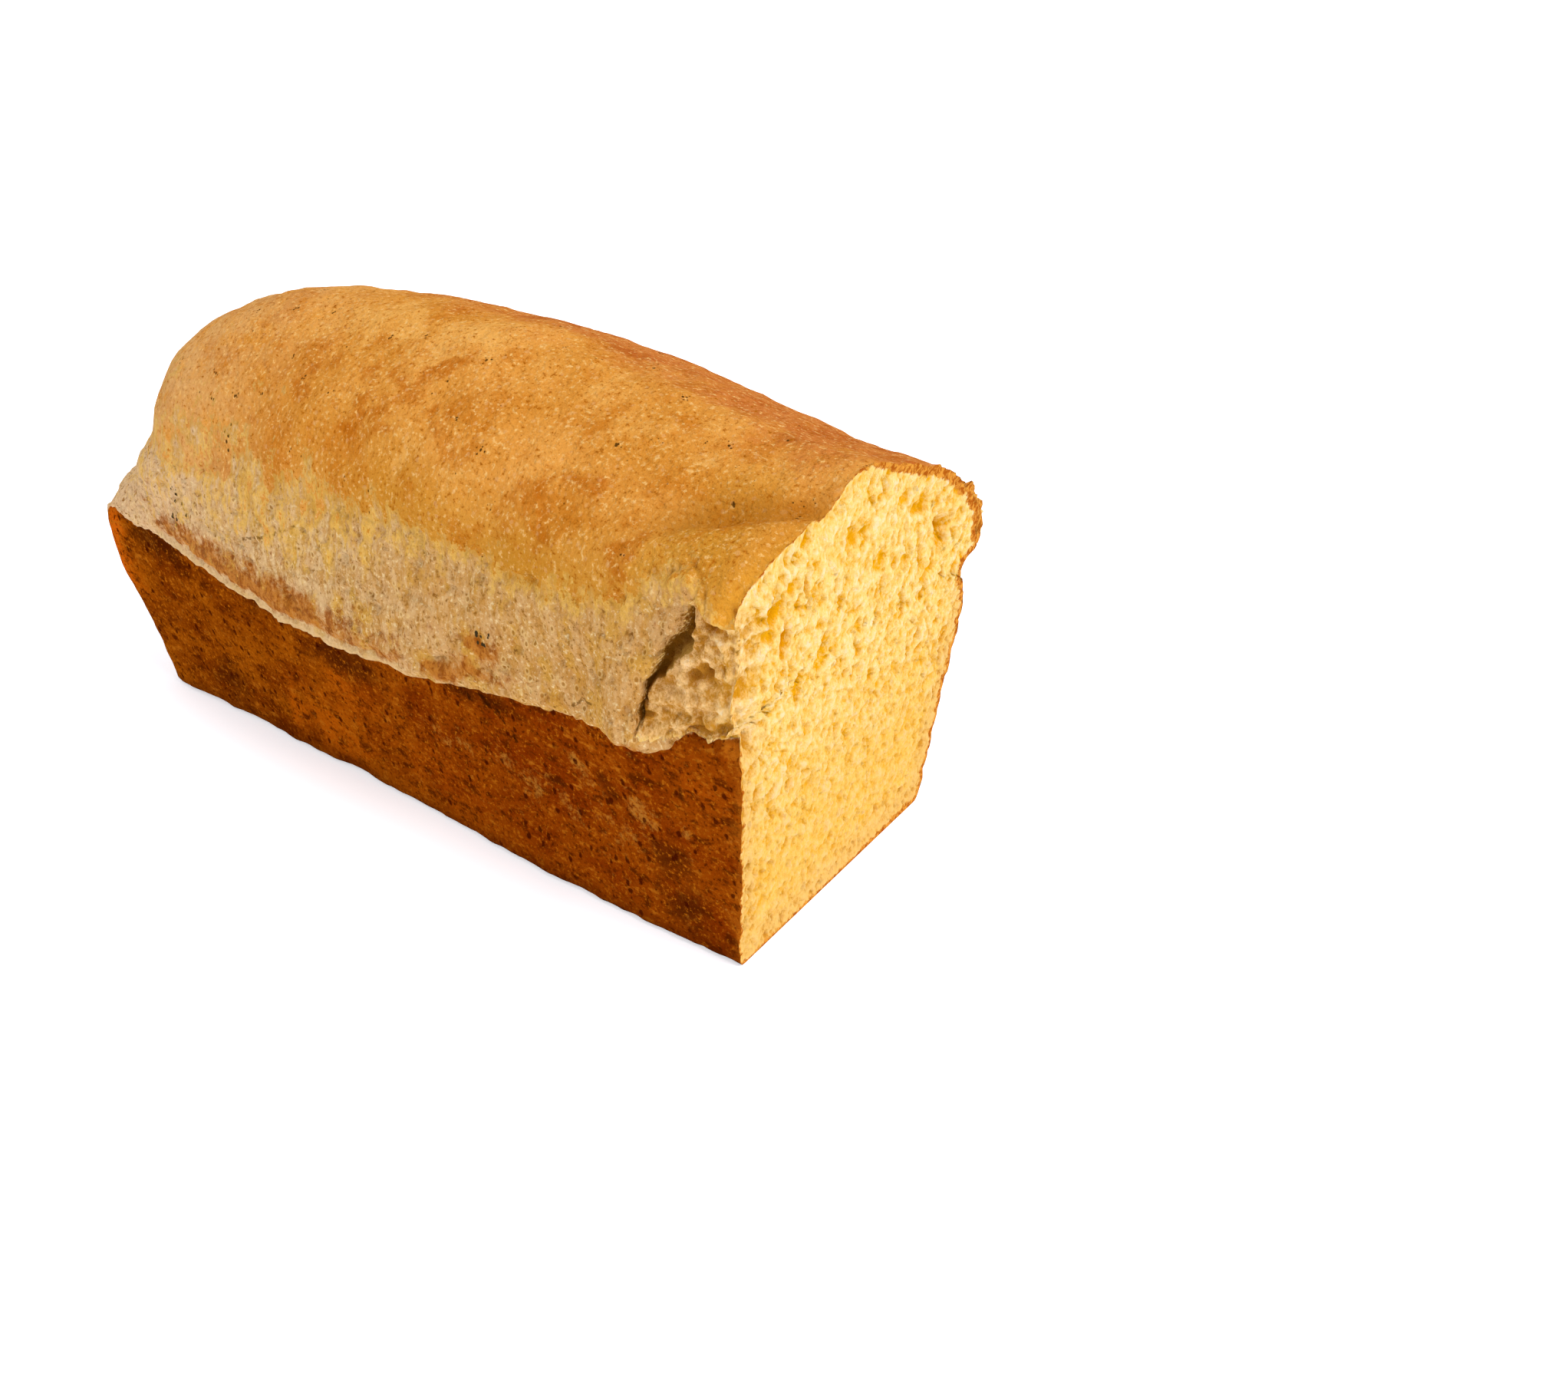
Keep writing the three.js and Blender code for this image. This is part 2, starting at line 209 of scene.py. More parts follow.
# How finely the surface is divided
ROWS = {"edge": 3, "wall": 32, "lip": 16, "band": 42}
COLUMNS = [(0, 0), (10, 10), (32, 56), (60, 80), (BASE_LENGTH, 164)]  # distance from the cut, columns
CORNER_COLUMNS = 10
END_COLUMNS = 64
END_ROWS = 72
FACE_ROWS = 196
FACE_COLUMNS = 188
FACE_INSET = 0.005  # how far the face's fine grid stays from its rim, as a share of the face
LIP_LENGTH = 12  # along the surface, from the wall's top to the lip's nose
BAND_LENGTH = 22  # and from there to the dome's shoulder
DOME_ABOVE_RIM = 40.0  # as the rows of the walls say it, for the whole dome
TORN_SHARE = 0.3  # how torn a place is before it shows crumb
PARTS = 100  # how many parts a long search is split into, to save memory

HALF_WIDTH = BASE_WIDTH / 2
HALF_LENGTH = BASE_LENGTH / 2
LONG = COLUMNS[-1][1] + CORNER_COLUMNS
ACROSS = END_COLUMNS + 2 * CORNER_COLUMNS

# Attributes that hold a distance say this where the mark is farther off
FAR = 9.0

# What the attributes say on the cut face and the base, where that isn't 0
OFF_SKIN = {"above_rim": -RIM_HEIGHT, "slot": -FAR, "to_cut": 2 * FAR, "crack": FAR, "inside_rim": FAR}

# Numbers of the materials
CRUST, WALL, CRUMB = 0, 1, 2

# The camera that the photo was taken with
CAMERA_PLACE = (272.914, -225.410, 199.267)
CAMERA_AZIMUTH = 37.19
CAMERA_ELEVATION = 28.10
CAMERA_ROLL = 0.14
CAMERA_LENS = 30.315

SURROUND = 0.75  # how bright the white surround is as a light
FLOOR_GLOW = 0.5  # keeps the floor as bright as the photo's
LIGHT = 1.25  # how much brighter than its own colour a surface looks
KEY_LIGHT = {"from": (1.0, 0.05, 1.3), "spread": 30, "strength": 2.1, "colour": (1.0, 0.985, 0.96)}
FLOOR_SIZE = 80  # in metres
FLOOR_COLOUR = (0.88, 0.88, 0.94, 1)


# Curves and noise


def mix(a, b, t):
    return a + (b - a) * t


def ramp(x, start, end):
    """0 up to start, 1 from end on, smooth between."""
    t = np.clip((x - start) / (end - start), 0, 1)
    return t * t * (3 - 2 * t)


def fall(x, start, end):
    """1 up to start, 0 from end on."""
    return 1 - ramp(x, start, end)


def bell(x, centre, width):
    return np.exp(-(((x - centre) / width) ** 2))


def joined(x, y, z):
    """Points from their coordinates, of which some may be single numbers."""
    return np.stack(np.broadcast_arrays(x, y, z), axis=-1)


def hashed(cells, seed):
    """A repeatable number from 0 to 1 for each whole-numbered cell."""
    mixed = cells @ np.array([73856093, 19349663, 83492791]) + seed * 2654435761
    mixed = (mixed ^ (mixed >> 13)) * 1274126177
    mixed = (mixed ^ (mixed >> 15)) * 2246822519
    return ((mixed ^ (mixed >> 16)) & 0xFFFFFF) / 0xFFFFFF


def noise(points, size, seed=0):
    """Smooth noise from about -1 to 1 with lumps of the given size, which may differ by axis."""
    scaled = points / size
    base = np.floor(scaled)
    inside = scaled - base
    ease = inside**3 * (inside * (inside * 6 - 15) + 10)
    total = np.zeros(len(points))
    for step in itertools.product((0, 1), repeat=3):
        step = np.array(step)
        cell = (base + step).astype(np.int64)
        weight = np.prod(np.where(step == 1, ease, 1 - ease), axis=1)
        slopes = np.stack([2 * hashed(cell, 3 * seed + axis) - 1 for axis in range(3)], axis=1)
        total += weight * np.sum(slopes * (inside - step), axis=1)
    return 1.9 * total


def bubbles(points, size, seed, share=0.62):
    """Depth from 0 to 1 of the rounded bubble that each point lies in, one to a cell."""
    scaled = points / size
    base = np.floor(scaled)
    deepest = np.zeros(len(points))
    for step in itertools.product((-1, 0, 1), repeat=3):
        cell = (base + np.array(step)).astype(np.int64)
        middle = cell + np.stack([hashed(cell, 7 * seed + axis) for axis in range(3)], axis=1)
        radius = share * (0.45 + 0.55 * hashed(cell, 7 * seed + 5))
        gap = np.linalg.norm(scaled - middle, axis=1) / radius
        deepest = np.maximum(deepest, np.sqrt(np.clip(1 - gap**2, 0, 1)))
    return deepest


def waves(x, y, z, length, seed):
    """The crossing waves that make the CAD solid uneven."""
    total = 0
    for i in range(1, 7):
        turn = 2.4 * i + seed
        along = x * math.cos(turn) + y * math.sin(turn) + z * math.sin(1.7 * turn + 1)
        total = total + np.sin(2 * math.pi * along / (length * (0.6 + 0.15 * i)) + 3.1 * turn)
    return total / 6


def through(knots, t):
    """A smooth curve through (out, z) knots, at t from 0 to 1."""
    last = len(knots) - 1
    i = min(int(t * last), last - 1)
    s = t * last - i
    a, b, c, d = (knots[min(max(k, 0), last)] for k in (i - 1, i, i + 1, i + 2))
    curve = []
    for axis in (0, 1):
        bend = 2 * a[axis] - 5 * b[axis] + 4 * c[axis] - d[axis]
        bend = bend + s * (3 * (b[axis] - c[axis]) + d[axis] - a[axis])
        curve.append(b[axis] + 0.5 * s * (c[axis] - a[axis] + s * bend))
    return curve


# The loaf's outlines


def cut_x(y, z):
    return HALF_LENGTH + CUT_LEAN * z + CUT_SKEW * (y + HALF_WIDTH)


def wall_out(half, z):
    return half + FLARE * z / RIM_HEIGHT


def lip_foot(x):
    """Height of the lip's lower edge on the burst side."""
    torn = ramp(x, 106, 118)
    sag = mix(LIP["sag"], LIP["sag_at_cut"], ramp(x, 10, 90)) * ramp(x, -135, 5)
    line = joined(x, 0, 0)
    wobble = 0.7 * noise(line, 13, 11) + 0.4 * noise(line, 5, 12)
    return RIM_HEIGHT + 2 - sag * (1 - torn) + wobble


def burst_outline(x):
    wall = wall_out(HALF_WIDTH, RIM_HEIGHT)
    swell = ramp(x, -115, -15) * fall(x, 25, 85)
    lobe = bell(x, LOBE["x"], LOBE["width"]) * fall(x, 106, 118)
    ends = mix(LIP["at_far_end"], LIP["at_cut"], ramp(x, -90, 60))
    bulge = mix(ends, LIP["bulge"], swell) + LOBE["bulge"] * lobe
    foot = lip_foot(x)
    nose = (wall + bulge, foot + LIP["height"])
    shoulder_z = mix(BURST_SHOULDER["z"], BURST_SHOULDER["z_at_cut"], ramp(x, 60, 130))
    climb = shoulder_z - nose[1]
    lip = [
        (wall_out(HALF_WIDTH, foot) - 0.5, foot),
        (wall + 0.5 * bulge, foot - 0.5),
        (wall + 0.92 * bulge, foot + 0.3 * LIP["height"]),
        nose,
    ]
    band = [
        (mix(nose[0], BURST_SHOULDER["out"] + 1.5, 0.25), nose[1] + 0.33 * climb),
        (mix(nose[0], BURST_SHOULDER["out"] + 1.5, 0.7), nose[1] + 0.66 * climb),
        (BURST_SHOULDER["out"], shoulder_z),
    ]
    return {"lip": lip, "band": [lip[-1], *band]}


def split_outline(x):
    wall = wall_out(HALF_WIDTH, RIM_HEIGHT)
    depth = SPLIT["depth"] * (1 + 0.5 * waves(x, 0, 0, 70, 2))
    brow = wall + SPLIT["overhang"]
    ceiling = SPLIT["ceiling"]
    shoulder_z = mix(SPLIT_SHOULDER["z"], SPLIT_SHOULDER["z_at_cut"], ramp(x, 40, 120))
    lip = [
        (wall - 0.2, RIM_HEIGHT),
        (wall - 0.8 * depth, SPLIT["floor"] + 1),
        (wall - depth, ceiling - 2),
        (brow - 2, ceiling),
    ]
    band = [
        (brow, ceiling + 2),
        (brow - 0.5, ceiling + 6),
        (SPLIT_SHOULDER["out"], shoulder_z),
    ]
    return {"lip": lip, "band": [lip[-1], *band]}


def end_outline():
    wall = wall_out(HALF_LENGTH, RIM_HEIGHT)
    top = RIM_HEIGHT + LEDGE["rise"]
    lip = [
        (wall + LEDGE["bulge"], RIM_HEIGHT - 12),
        (wall - LEDGE["bulge"], RIM_HEIGHT - 2),
        (wall - 0.35 * LEDGE["depth"], top - 5),
        (wall - 0.8 * LEDGE["depth"], top),
    ]
    band = [
        (wall - LEDGE["depth"] - 1, top + 2),
        (wall - LEDGE["depth"], top + 8),
        (wall - END_SHOULDER["inset"], END_SHOULDER["z"]),
    ]
    return {"lip": lip, "band": [lip[-1], *band]}


def outline_point(zone, s, half, outline):
    """A wall's (out, z) in one row."""
    if zone == "edge":
        turn = s * math.pi / 2
        return half - BASE_EDGE * (1 - math.sin(turn)), BASE_EDGE * (1 - math.cos(turn))
    if zone == "wall":
        out, foot = outline["lip"][0]
        z = mix(BASE_EDGE, foot, s)
        return mix(wall_out(half, z), out, s**4), z
    return through(outline[zone], s)


def burst_side(zone, s, x):
    out, z = outline_point(zone, s, HALF_WIDTH, burst_outline(x))
    spread = FOOT_SPREAD["out"] * bell(x, FOOT_SPREAD["x"], FOOT_SPREAD["length"])
    spread = spread * fall(z, 0, FOOT_SPREAD["height"])
    return joined(x, -out - spread, z)


def split_side(zone, s, x):
    out, z = outline_point(zone, s, HALF_WIDTH, split_outline(x))
    return joined(x, out, z)


def corner_radius(z):
    to_rim = mix(BASE_CORNER, RIM_CORNER, min(max(z / RIM_HEIGHT, 0), 1))
    return mix(to_rim, SHOULDER_CORNER, ramp(z, RIM_HEIGHT, END_SHOULDER["z"]))


def side_shares():
    """How far along a long side each column is."""
    distances, columns = zip(*COLUMNS)
    return np.interp(np.arange(columns[-1] + 1), columns, distances) / BASE_LENGTH


def corner(start, radius, end_z):
    """A quarter turn from the end of a long side to the far wall."""
    steps = np.arange(1, 2 * CORNER_COLUMNS + 1)
    turn = steps / (2 * CORNER_COLUMNS) * math.pi / 2
    x = start[0] - radius * np.sin(turn)
    y = start[1] - np.sign(start[1]) * radius * (1 - np.cos(turn))
    return joined(x, y, mix(start[2], end_z, ramp(steps, 0, 2 * CORNER_COLUMNS)))


def side_row(side, zone, s, end, end_z):
    """One long side's row, from the cut round the corner at the far end."""

    def at(x):
        return side(zone, s, np.atleast_1d(np.asarray(x, float)))

    radius = corner_radius(0.5 * (at(-HALF_LENGTH)[0, 2] + end_z))
    start = at(-end + radius)[0]
    _, y, z = at(HALF_LENGTH)[0]
    straight = at(mix(cut_x(y, z), start[0], side_shares()))
    return np.concatenate([straight, corner(start, radius, end_z)])


def wall_row(zone, s):
    """From the cut along the burst side, round the far end and back to the cut."""
    end, end_z = outline_point(zone, s, HALF_LENGTH, end_outline())
    burst = side_row(burst_side, zone, s, end, end_z)
    split = side_row(split_side, zone, s, end, end_z)[::-1]
    shares = np.arange(1, END_COLUMNS)[:, None] / END_COLUMNS
    between = mix(burst[-1], split[0], shares)
    return np.concatenate([burst, between, split])


def wall_rows():
    rows = [wall_row(zone, i / count) for zone, count in ROWS.items() for i in range(count)]
    rows.append(wall_row("band", 1))
    return np.array(rows)


def dome_rise(share, exponent):
    return np.sqrt(np.clip(1 - share**exponent, 0, 1))


def dome_rows(shoulder):
    """Rows that run across the loaf, from the cut to the far end."""
    burst = shoulder[: LONG + 1]
    end = shoulder[LONG : LONG + ACROSS + 1]
    split = shoulder[LONG + ACROSS :][::-1]
    steps = np.arange(ACROSS + 1) / ACROSS
    shares = mix(steps, 0.5 - 0.5 * np.cos(math.pi * steps), 0.75)
    sheet = mix(burst[:, None], split[:, None], shares[None, :, None])
    row = np.arange(LONG + 1)
    pull = np.clip((row - LONG + END_ROWS) / END_ROWS, 0, 1) ** 2
    sheet = sheet + (end - sheet[LONG])[None] * pull[:, None, None]

    x, y, z = np.moveaxis(sheet, 2, 0)
    to_burst = CREST_Y - burst[:, None, 1]
    to_split = split[:, None, 1] - CREST_Y
    reach = np.where(y < CREST_Y, to_burst, to_split)
    across = np.clip(np.abs(y - CREST_Y) / reach, 0, 1)
    along = np.clip((end[None, :, 0] + FAR_FALL - x) / FAR_FALL, 0, 1)
    exponent = mix(ROUNDNESS_MIDDLE, ROUNDNESS_CUT, ramp(x, 40, 125))
    crest = CREST_HEIGHT - CREST_DROP_TO_CUT * ramp(x, -5, 150)
    crest = crest - CREST_DROP_TO_FAR_END * ramp(-x, 30, 110)
    raised = mix(z, crest, dome_rise(across, exponent) * dome_rise(along, 2.2))
    lean = CUT_LEAN * (raised - z) * (1 - row[:, None] / LONG)
    return joined(x + lean, y, raised)


# Where the features lie on the surface


def tear_share(z):
    return (z - TEAR_FOOT[1]) / (TEAR_HEAD[1] - TEAR_FOOT[1])


def tear_line(z):
    """X of the tear at a height."""
    return mix(TEAR_FOOT[0], TEAR_HEAD[0], np.clip(tear_share(z), 0, 1.3) ** 1.8)


def torn_top(x):
    """Height of the golden crust's lower edge over the torn crumb."""
    return 96.5 - 5.5 * ramp(x, 118, 127)


def right_of_tear(p):
    """How far a point is right of the tear's ragged left edge, in millimetres."""
    return p[:, 0] - tear_line(p[:, 2]) + 0.9 * noise(p, 4, 26) + 0.6 * noise(p, 1.8, 27)


def torn_part(p):
    """1 on the torn crumb between the tear and the cut, 0 elsewhere."""
    x, y, z = p.T
    top = torn_top(x) + 1.4 * noise(p, 5, 23) + 1.0 * noise(p, 2.2, 24)
    foot = 62 + 1.8 * noise(p, 5, 25) + 1.2 * noise(p, 2, 28)
    above_foot = ramp(z, foot - 0.4, foot + 0.4)
    below_top = fall(z, top - 0.3, top + 0.3)
    return above_foot * below_top * ramp(right_of_tear(p), 0.2, 0.6) * (y < LIP_BELOW_Y)


def slot_width(share):
    ends = ramp(share, 0.0, 0.12) * fall(share, 0.86, 1.0)
    return ends * (1.0 + 4.6 * bell(share, 0.66, 0.22))


def slot_inside(p):
    """How far a point is inside the tear's dark slot, in millimetres, below 0 outside it."""
    right = right_of_tear(p)
    inside = np.minimum(right, slot_width(tear_share(p[:, 2])) - right)
    return np.where(p[:, 1] < LIP_BELOW_Y, inside, -FAR)


def slot_share(p):
    """1 in the deepest part of the tear's slot, 0 beside it."""
    right = right_of_tear(p)
    width = slot_width(tear_share(p[:, 2]))
    slope = fall(right, 0.35 * width, width + 0.3)
    return (p[:, 1] < LIP_BELOW_Y) * (width > 0.1) * ramp(right, -0.25, 0.25) * slope


def soft_edge(y, z):
    """1 where the cut's edge is rounded off: beside the torn crumb and the burst crust."""
    return ramp(z, 58, 66) * fall(z, 92, 114) * (y < MARKED_BELOW_Y)


def crust_edge(p):
    """How far a point is above the lower edge of the golden crust, which is sharper near the cut."""
    x, y, z = p.T
    burst = GOLD_EDGE["burst"] + 4 * bell(x, -80, 30) + 3 * bell(x, 25, 22)
    burst = burst + 11 * ramp(x, 96, 113) - 6 * ramp(x, 118, 128)
    edge = mix(burst, SPLIT["ceiling"] - 1, ramp(y, 0, 34))
    edge = mix(edge, GOLD_EDGE["far_end"], ramp(-x, 96, 120))
    left = fall(x, -50, 50)
    return (z - edge - 4 * left) / mix(1, 4, left)


def ruddy_share(p):
    """Where the dome is baked redder: along its far side and at the fold."""
    x, y, z = p.T
    far = ramp(y, -26, 14) * ramp(z, 82, 112) * ramp(x, -100, 30) * (1 - 0.5 * ramp(x, 84, 124))
    near_cut = 0.5 * ramp(x, 70, 120) * ramp(y, -34, -10) * ramp(z, 90, 100)
    return np.clip(far + near_cut, 0, 1)


def pallor_share(p):
    """Where the dome is paler and duller: towards its far end."""
    x, y, _ = p.T
    return fall(x, -95, 0) * (1 - 0.7 * ramp(y, -10, 30))


def spots(along, across, places):
    """Soft spots, each given by its place in two directions, half its size in both and its strength."""
    total = np.zeros(len(along))
    for at, beside, half, half_beside, strength in places:
        total = np.maximum(total, strength * bell(along, at, half) * bell(across, beside, half_beside))
    return total


def stirred(p, size, reach, seed):
    """The points, each moved unevenly, which makes a mark's outline ragged."""
    return p + reach * np.stack([noise(p, size, seed + axis) for axis in range(3)], axis=1)


def side_spots(p, places):
    """Ragged spots on the burst side."""
    x, _, z = stirred(stirred(p, 8, 3.0, 71), 3, 1.2, 74).T
    return spots(x, z, places) * (p[:, 1] < MARKED_BELOW_Y)


def dome_spots(p, places):
    """Ragged spots on the dome."""
    x, y, _ = stirred(stirred(p, 14, 9.0, 77), 5, 4.0, 80).T
    return spots(x, y, places) * ramp(p[:, 2], 84, 90)


def line_gap(p, lines):
    """Distance in x and z to the nearest of some lines on the burst side, at most FAR."""
    flat = p[:, [0, 2]]
    gap = np.full(len(p), FAR)
    for line in lines:
        for start, end in itertools.pairwise(np.array(line)):
            step = end - start
            share = np.clip((flat - start) @ step / (step @ step), 0, 1)
            gap = np.minimum(gap, np.linalg.norm(flat - start - share[:, None] * step, axis=1))
    return np.where(p[:, 1] < MARKED_BELOW_Y, gap, FAR)


def stain_share(p):
    """The browned ridge above the lip."""
    x, y, z = p.T
    above = z - lip_foot(x)
    ridge = mix(5.5, 4, ramp(x, -8, 26))
    strength = ramp(x, -98, -62) * (1 - 0.4 * ramp(x, -12, 20)) * fall(x, 24, 44)
    stain = strength * bell(above, ridge, np.where(above > ridge, 8.5, 1.8))
    return np.maximum(stain * (y < LIP_BELOW_Y), side_spots(p, STAINS))


def grooved_part(p):
    """1 where a groove sets off the lip's edge, 0 towards both ends."""
    x, y, _ = p.T
    return ramp(x, -95, -70) * fall(x, 24, 36) * (y < LIP_BELOW_Y)


def strip_share(p):
    """The pale strip along the lip, below its groove."""
    return grooved_part(p) * bell(p[:, 2] - lip_foot(p[:, 0]), 1.4, 1.5)


# Relief


def torn_pits(p):
    """Depth of the pits in the torn crumb."""
    x, _, z = stirred(p, 2.6, 1.8, 90).T
    return spots(x, z, TEAR_PITS)


def tear_depth(p, torn):
    """How deep the tear's slot and the torn crumb lie."""
    x, _, z = p.T
    recess = TORN_DEPTH * torn * (1 - 0.85 * ramp(x, 122, 136)) * mix(0.5, 1, ramp(z, 66, 92))
    upright = noise(p, (2.2, 2.2, 6), 31) * ramp(z, 74, 82)
    layers = noise(p, (9, 9, 2.2), 36) * fall(z, 70, 78)
    lumps = 1.0 * upright + 1.5 * layers + 0.9 * noise(p, 3.2, 32) + 0.7 * noise(p, 1.5, 33)
    return TEAR_DEPTH * slot_share(p) + recess + torn * (torn_pits(p) - lumps)


def edge_rounding(p):
    """How far the skin gives way beside the cut's rounded edge."""
    x, y, z = p.T
    return EDGE_ROUNDING * soft_edge(y, z) * bell(cut_x(y, z) - x, 0, ROUNDED_WIDTH)


def fold_share(p):
    """1 in the valley of the fold beside the cut, which is steep on its outer side."""
    x, y, z = p.T
    share = (x - FOLD_FROM[0]) / (FOLD_TO[0] - FOLD_FROM[0])
    line = mix(FOLD_FROM[1], FOLD_TO[1], share) + 1.2 * noise(p, 9, 35)
    inside = y - line
    width = np.where(inside > 0, FOLD_WIDTH["inside"], FOLD_WIDTH["outside"])
    return ramp(share, -0.1, 0.4) * bell(inside, 0, width) * ramp(z, 86, 90)


def lip_relief(p):
    """The groove above the lip's pale strip and the frayed edge of the lip."""
    x, y, z = p.T
    above = z - lip_foot(x)
    on_lip = y < LIP_BELOW_Y
    fray = bell(above, 2, 2.5) * on_lip * ramp(x, -95, -70) * np.maximum(noise(p, (6, 6, 3), 38), 0)
    groove = grooved_part(p) * bell(above, 3.4, 1.1)
    pocket = bell(x, 44, 4) * bell(above, 7, 1.8) * on_lip
    return 0.9 * fray - 0.9 * groove - 1.6 * pocket


def far_shift(p):
    """The level move that bulges the far wall and draws in its ledge and the dome's shoulder."""
    x, y, z = p.T
    wall = 1.6 * bell(z, 40, 12) - 2.6 * bell(z, 66, 7)
    shoulder = 4.0 * ramp(-x, 66, 100) * bell(z, 102, 15) * fall(y, -30, 10)
    out = ramp(-x, 104, 120) * wall - shoulder
    return out[:, None] * joined(-0.8, 0.6 * np.clip(y / 30, -1, 1), 0)


def gold_share(p):
    """1 on the golden crust, 0 below its ragged edge."""
    ragged = 2.0 * noise(p, (3, 3, 6), 39) + 1.0 * noise(p, 2.0, 40)
    return ramp(crust_edge(p) + ragged, -0.6, 0.8)


def gold_relief(p):
    """The golden crust's own thickness and its small lumps."""
    skin = 0.6 * ramp(p[:, 0], 0, 60) * fall(p[:, 1], -20, 0)
    lumps = 0.5 * noise(p, 12, 41) + 0.3 * noise(p, 5, 42) + 0.12 * noise(p, 2.4, 48)
    return skin + lumps


def flap_relief(p, torn):
    """The crust's thick lower edge over the torn crumb."""
    x, y, z = p.T
    return 1.5 * bell(z - torn_top(x), 1.6, 1.6) * ramp(x, 111, 116) * (y < LIP_BELOW_Y) * (1 - torn)


def band_relief(p):
    """Stretched fibres and opened bubbles of the pale band."""
    fibres = 0.5 * noise(p, (2.6, 2.6, 8), 43) + 0.4 * noise(p, 2.6, 44)
    pores = 1.1 * bubbles(p, (4.5, 4.5, 6), 45, 0.3) + 0.7 * bubbles(p, (2.8, 2.8, 3.6), 50, 0.34)
    return fibres - pores


def wall_relief(p):
    """The brown wall's small lumps, and its foot, which is drawn in unevenly."""
    lumps = 0.25 * noise(p, 7, 46) + 0.16 * noise(p, 3, 47)
    return lumps - fall(p[:, 2], 2, 12) * 0.8 * ramp(noise(p, 16, 49), -0.1, 0.9)


def crust_relief(p, torn, above_rim):
    """How far the crust stands out from its smooth form."""
    x, y, z = p.T
    on_dome = ramp(z, 66, 84)
    on_wall = ramp(z, 0, 16) * (1 - on_dome)
    out = on_wall * 0.4 * waves(x, y, z, 34, 7)
    out = out + on_dome * (1.4 * waves(x, y, z, 62, 1) + 0.45 * waves(x, y, z, 22, 3))
    out = out - tear_depth(p, torn) - FOLD_DEPTH * fold_share(p) - 0.8 * edge_rounding(p) + lip_relief(p)
    gold = gold_share(p)
    out = out + gold * gold_relief(p) + flap_relief(p, torn)
    pale = ramp(above_rim, 0, 3) * (1 - gold) * (1 - torn)
    baked = fall(above_rim, -2, 0)
    return out + pale * band_relief(p) + baked * wall_relief(p)


def rim_width(y, z):
    """Thickness of the crust where the cut shows it, in millimetres."""
    burst_dome = mix(0.6, 2.4, ramp(y, -24, 20)) * ramp(z, 92, 98)
    burst_wall = 0.8 * fall(z, 60, 66)
    split = mix(mix(0.8, 1.6, ramp(y, 0, 30)), 2.4, ramp(z, 74, 80))
    return mix(np.maximum(burst_wall, burst_dome), split, ramp(y, -4, 10))


def bent_places(flat):
    """Places on the face, shifted unevenly so that bubbles there lose their round outline."""
    bent = flat.copy()
    for size, reach, seed in ((9, 1.6, 51), (3.5, 1.0, 64), (1.5, 0.45, 66)):
        bent[:, 1] += reach * noise(flat, size, seed)
        bent[:, 2] += reach * noise(flat, size, seed + 1)
    return bent


def face_depth(p):
    """Depth of the cut face below its plane, and how much of that is open pores."""
    _, y, z = p.T
    flat = joined(0, y, z)
    bent = bent_places(flat)
    upper = ramp(z, 15, 85)
    patchy = ramp(noise(flat, 13, 52), -0.5, 0.5)
    large = bubbles(bent, (6, 4.4, 7), 53, 0.42) * mix(0.1, 1, upper)
    middle = bubbles(bent, (3.4, 2.4, 4.6), 54, 0.5) * mix(0.5, 1, patchy)
    small = bubbles(bent, (1.9, 1.4, 2.4), 55, 0.56)
    pores = 1.5 * large + 1.0 * middle + 0.7 * small
    clods = 0.6 * noise(bent, (1, 3, 4), 56) + 0.6 * noise(flat, (1, 1.5, 2.0), 57)
    depth = 0.4 * (1 + waves(0, 1.5 * y, 0.7 * z, 15, 9)) + 0.9 * pores - 0.65 * clods
    pores = pores - 0.9 * clods
    depth = depth - 0.28 * noise(flat, (1, 0.9, 1.1), 58)
    for across, up, half_y, half_z, deep in HOLES:
        hole = bell(bent[:, 1], across, half_y) * bell(bent[:, 2], up, half_z)
        depth = depth + deep * hole
        pores = pores + 1.2 * ramp(hole, 0.2, 0.8)
    return depth, pores


# The mesh


class Mesh:
    """Points with their attributes, and triangles with their material."""

    def __init__(self):
        self.points = np.zeros((0, 3))
        self.triangles = []
        self.materials = []

    def add(self, points):
        """Adds points and returns their numbers in the same shape."""
        start = len(self.points)
        flat = np.asarray(points, float).reshape(-1, 3)
        self.points = np.concatenate([self.points, flat])
        return start + np.arange(len(flat)).reshape(np.shape(points)[:-1])

    def join(self, triangles, material):
        triangles = np.asarray(triangles).reshape(-1, 3)
        self.triangles.append(triangles)
        self.materials.append(np.full(len(triangles), material))

    def grid(self, ids, material):
        """Joins rows of points, each quad along its shorter diagonal."""
        a, b, d, e = (g.ravel() for g in (ids[:-1, :-1], ids[:-1, 1:], ids[1:, 1:], ids[1:, :-1]))
        direct = self.gap(a, d) < self.gap(b, e)
        first = np.stack([a, b, np.where(direct, d, e)], axis=1)
        second = np.stack([np.where(direct, a, b), d, e], axis=1)
        self.join(np.concatenate([first, second]), material)

    def gap(self, a, b):
        return np.linalg.norm(self.points[a] - self.points[b], axis=1)

    def normals(self):
        triangles = np.concatenate(self.triangles)
        a, b, c = (self.points[triangles[:, i]] for i in range(3))
        across = np.cross(b - a, c - a)
        total = np.zeros_like(self.points)
        for i in range(3):
            np.add.at(total, triangles[:, i], across)
        return total / np.maximum(np.linalg.norm(total, axis=1, keepdims=True), 1e-9)


def along(curve, shares):
    """Points at shares of the way through a curve's own points."""
    place = shares * (len(curve) - 1)
    i = np.minimum(place.astype(int), len(curve) - 2)
    return mix(curve[i], curve[i + 1], (place - i)[:, None])


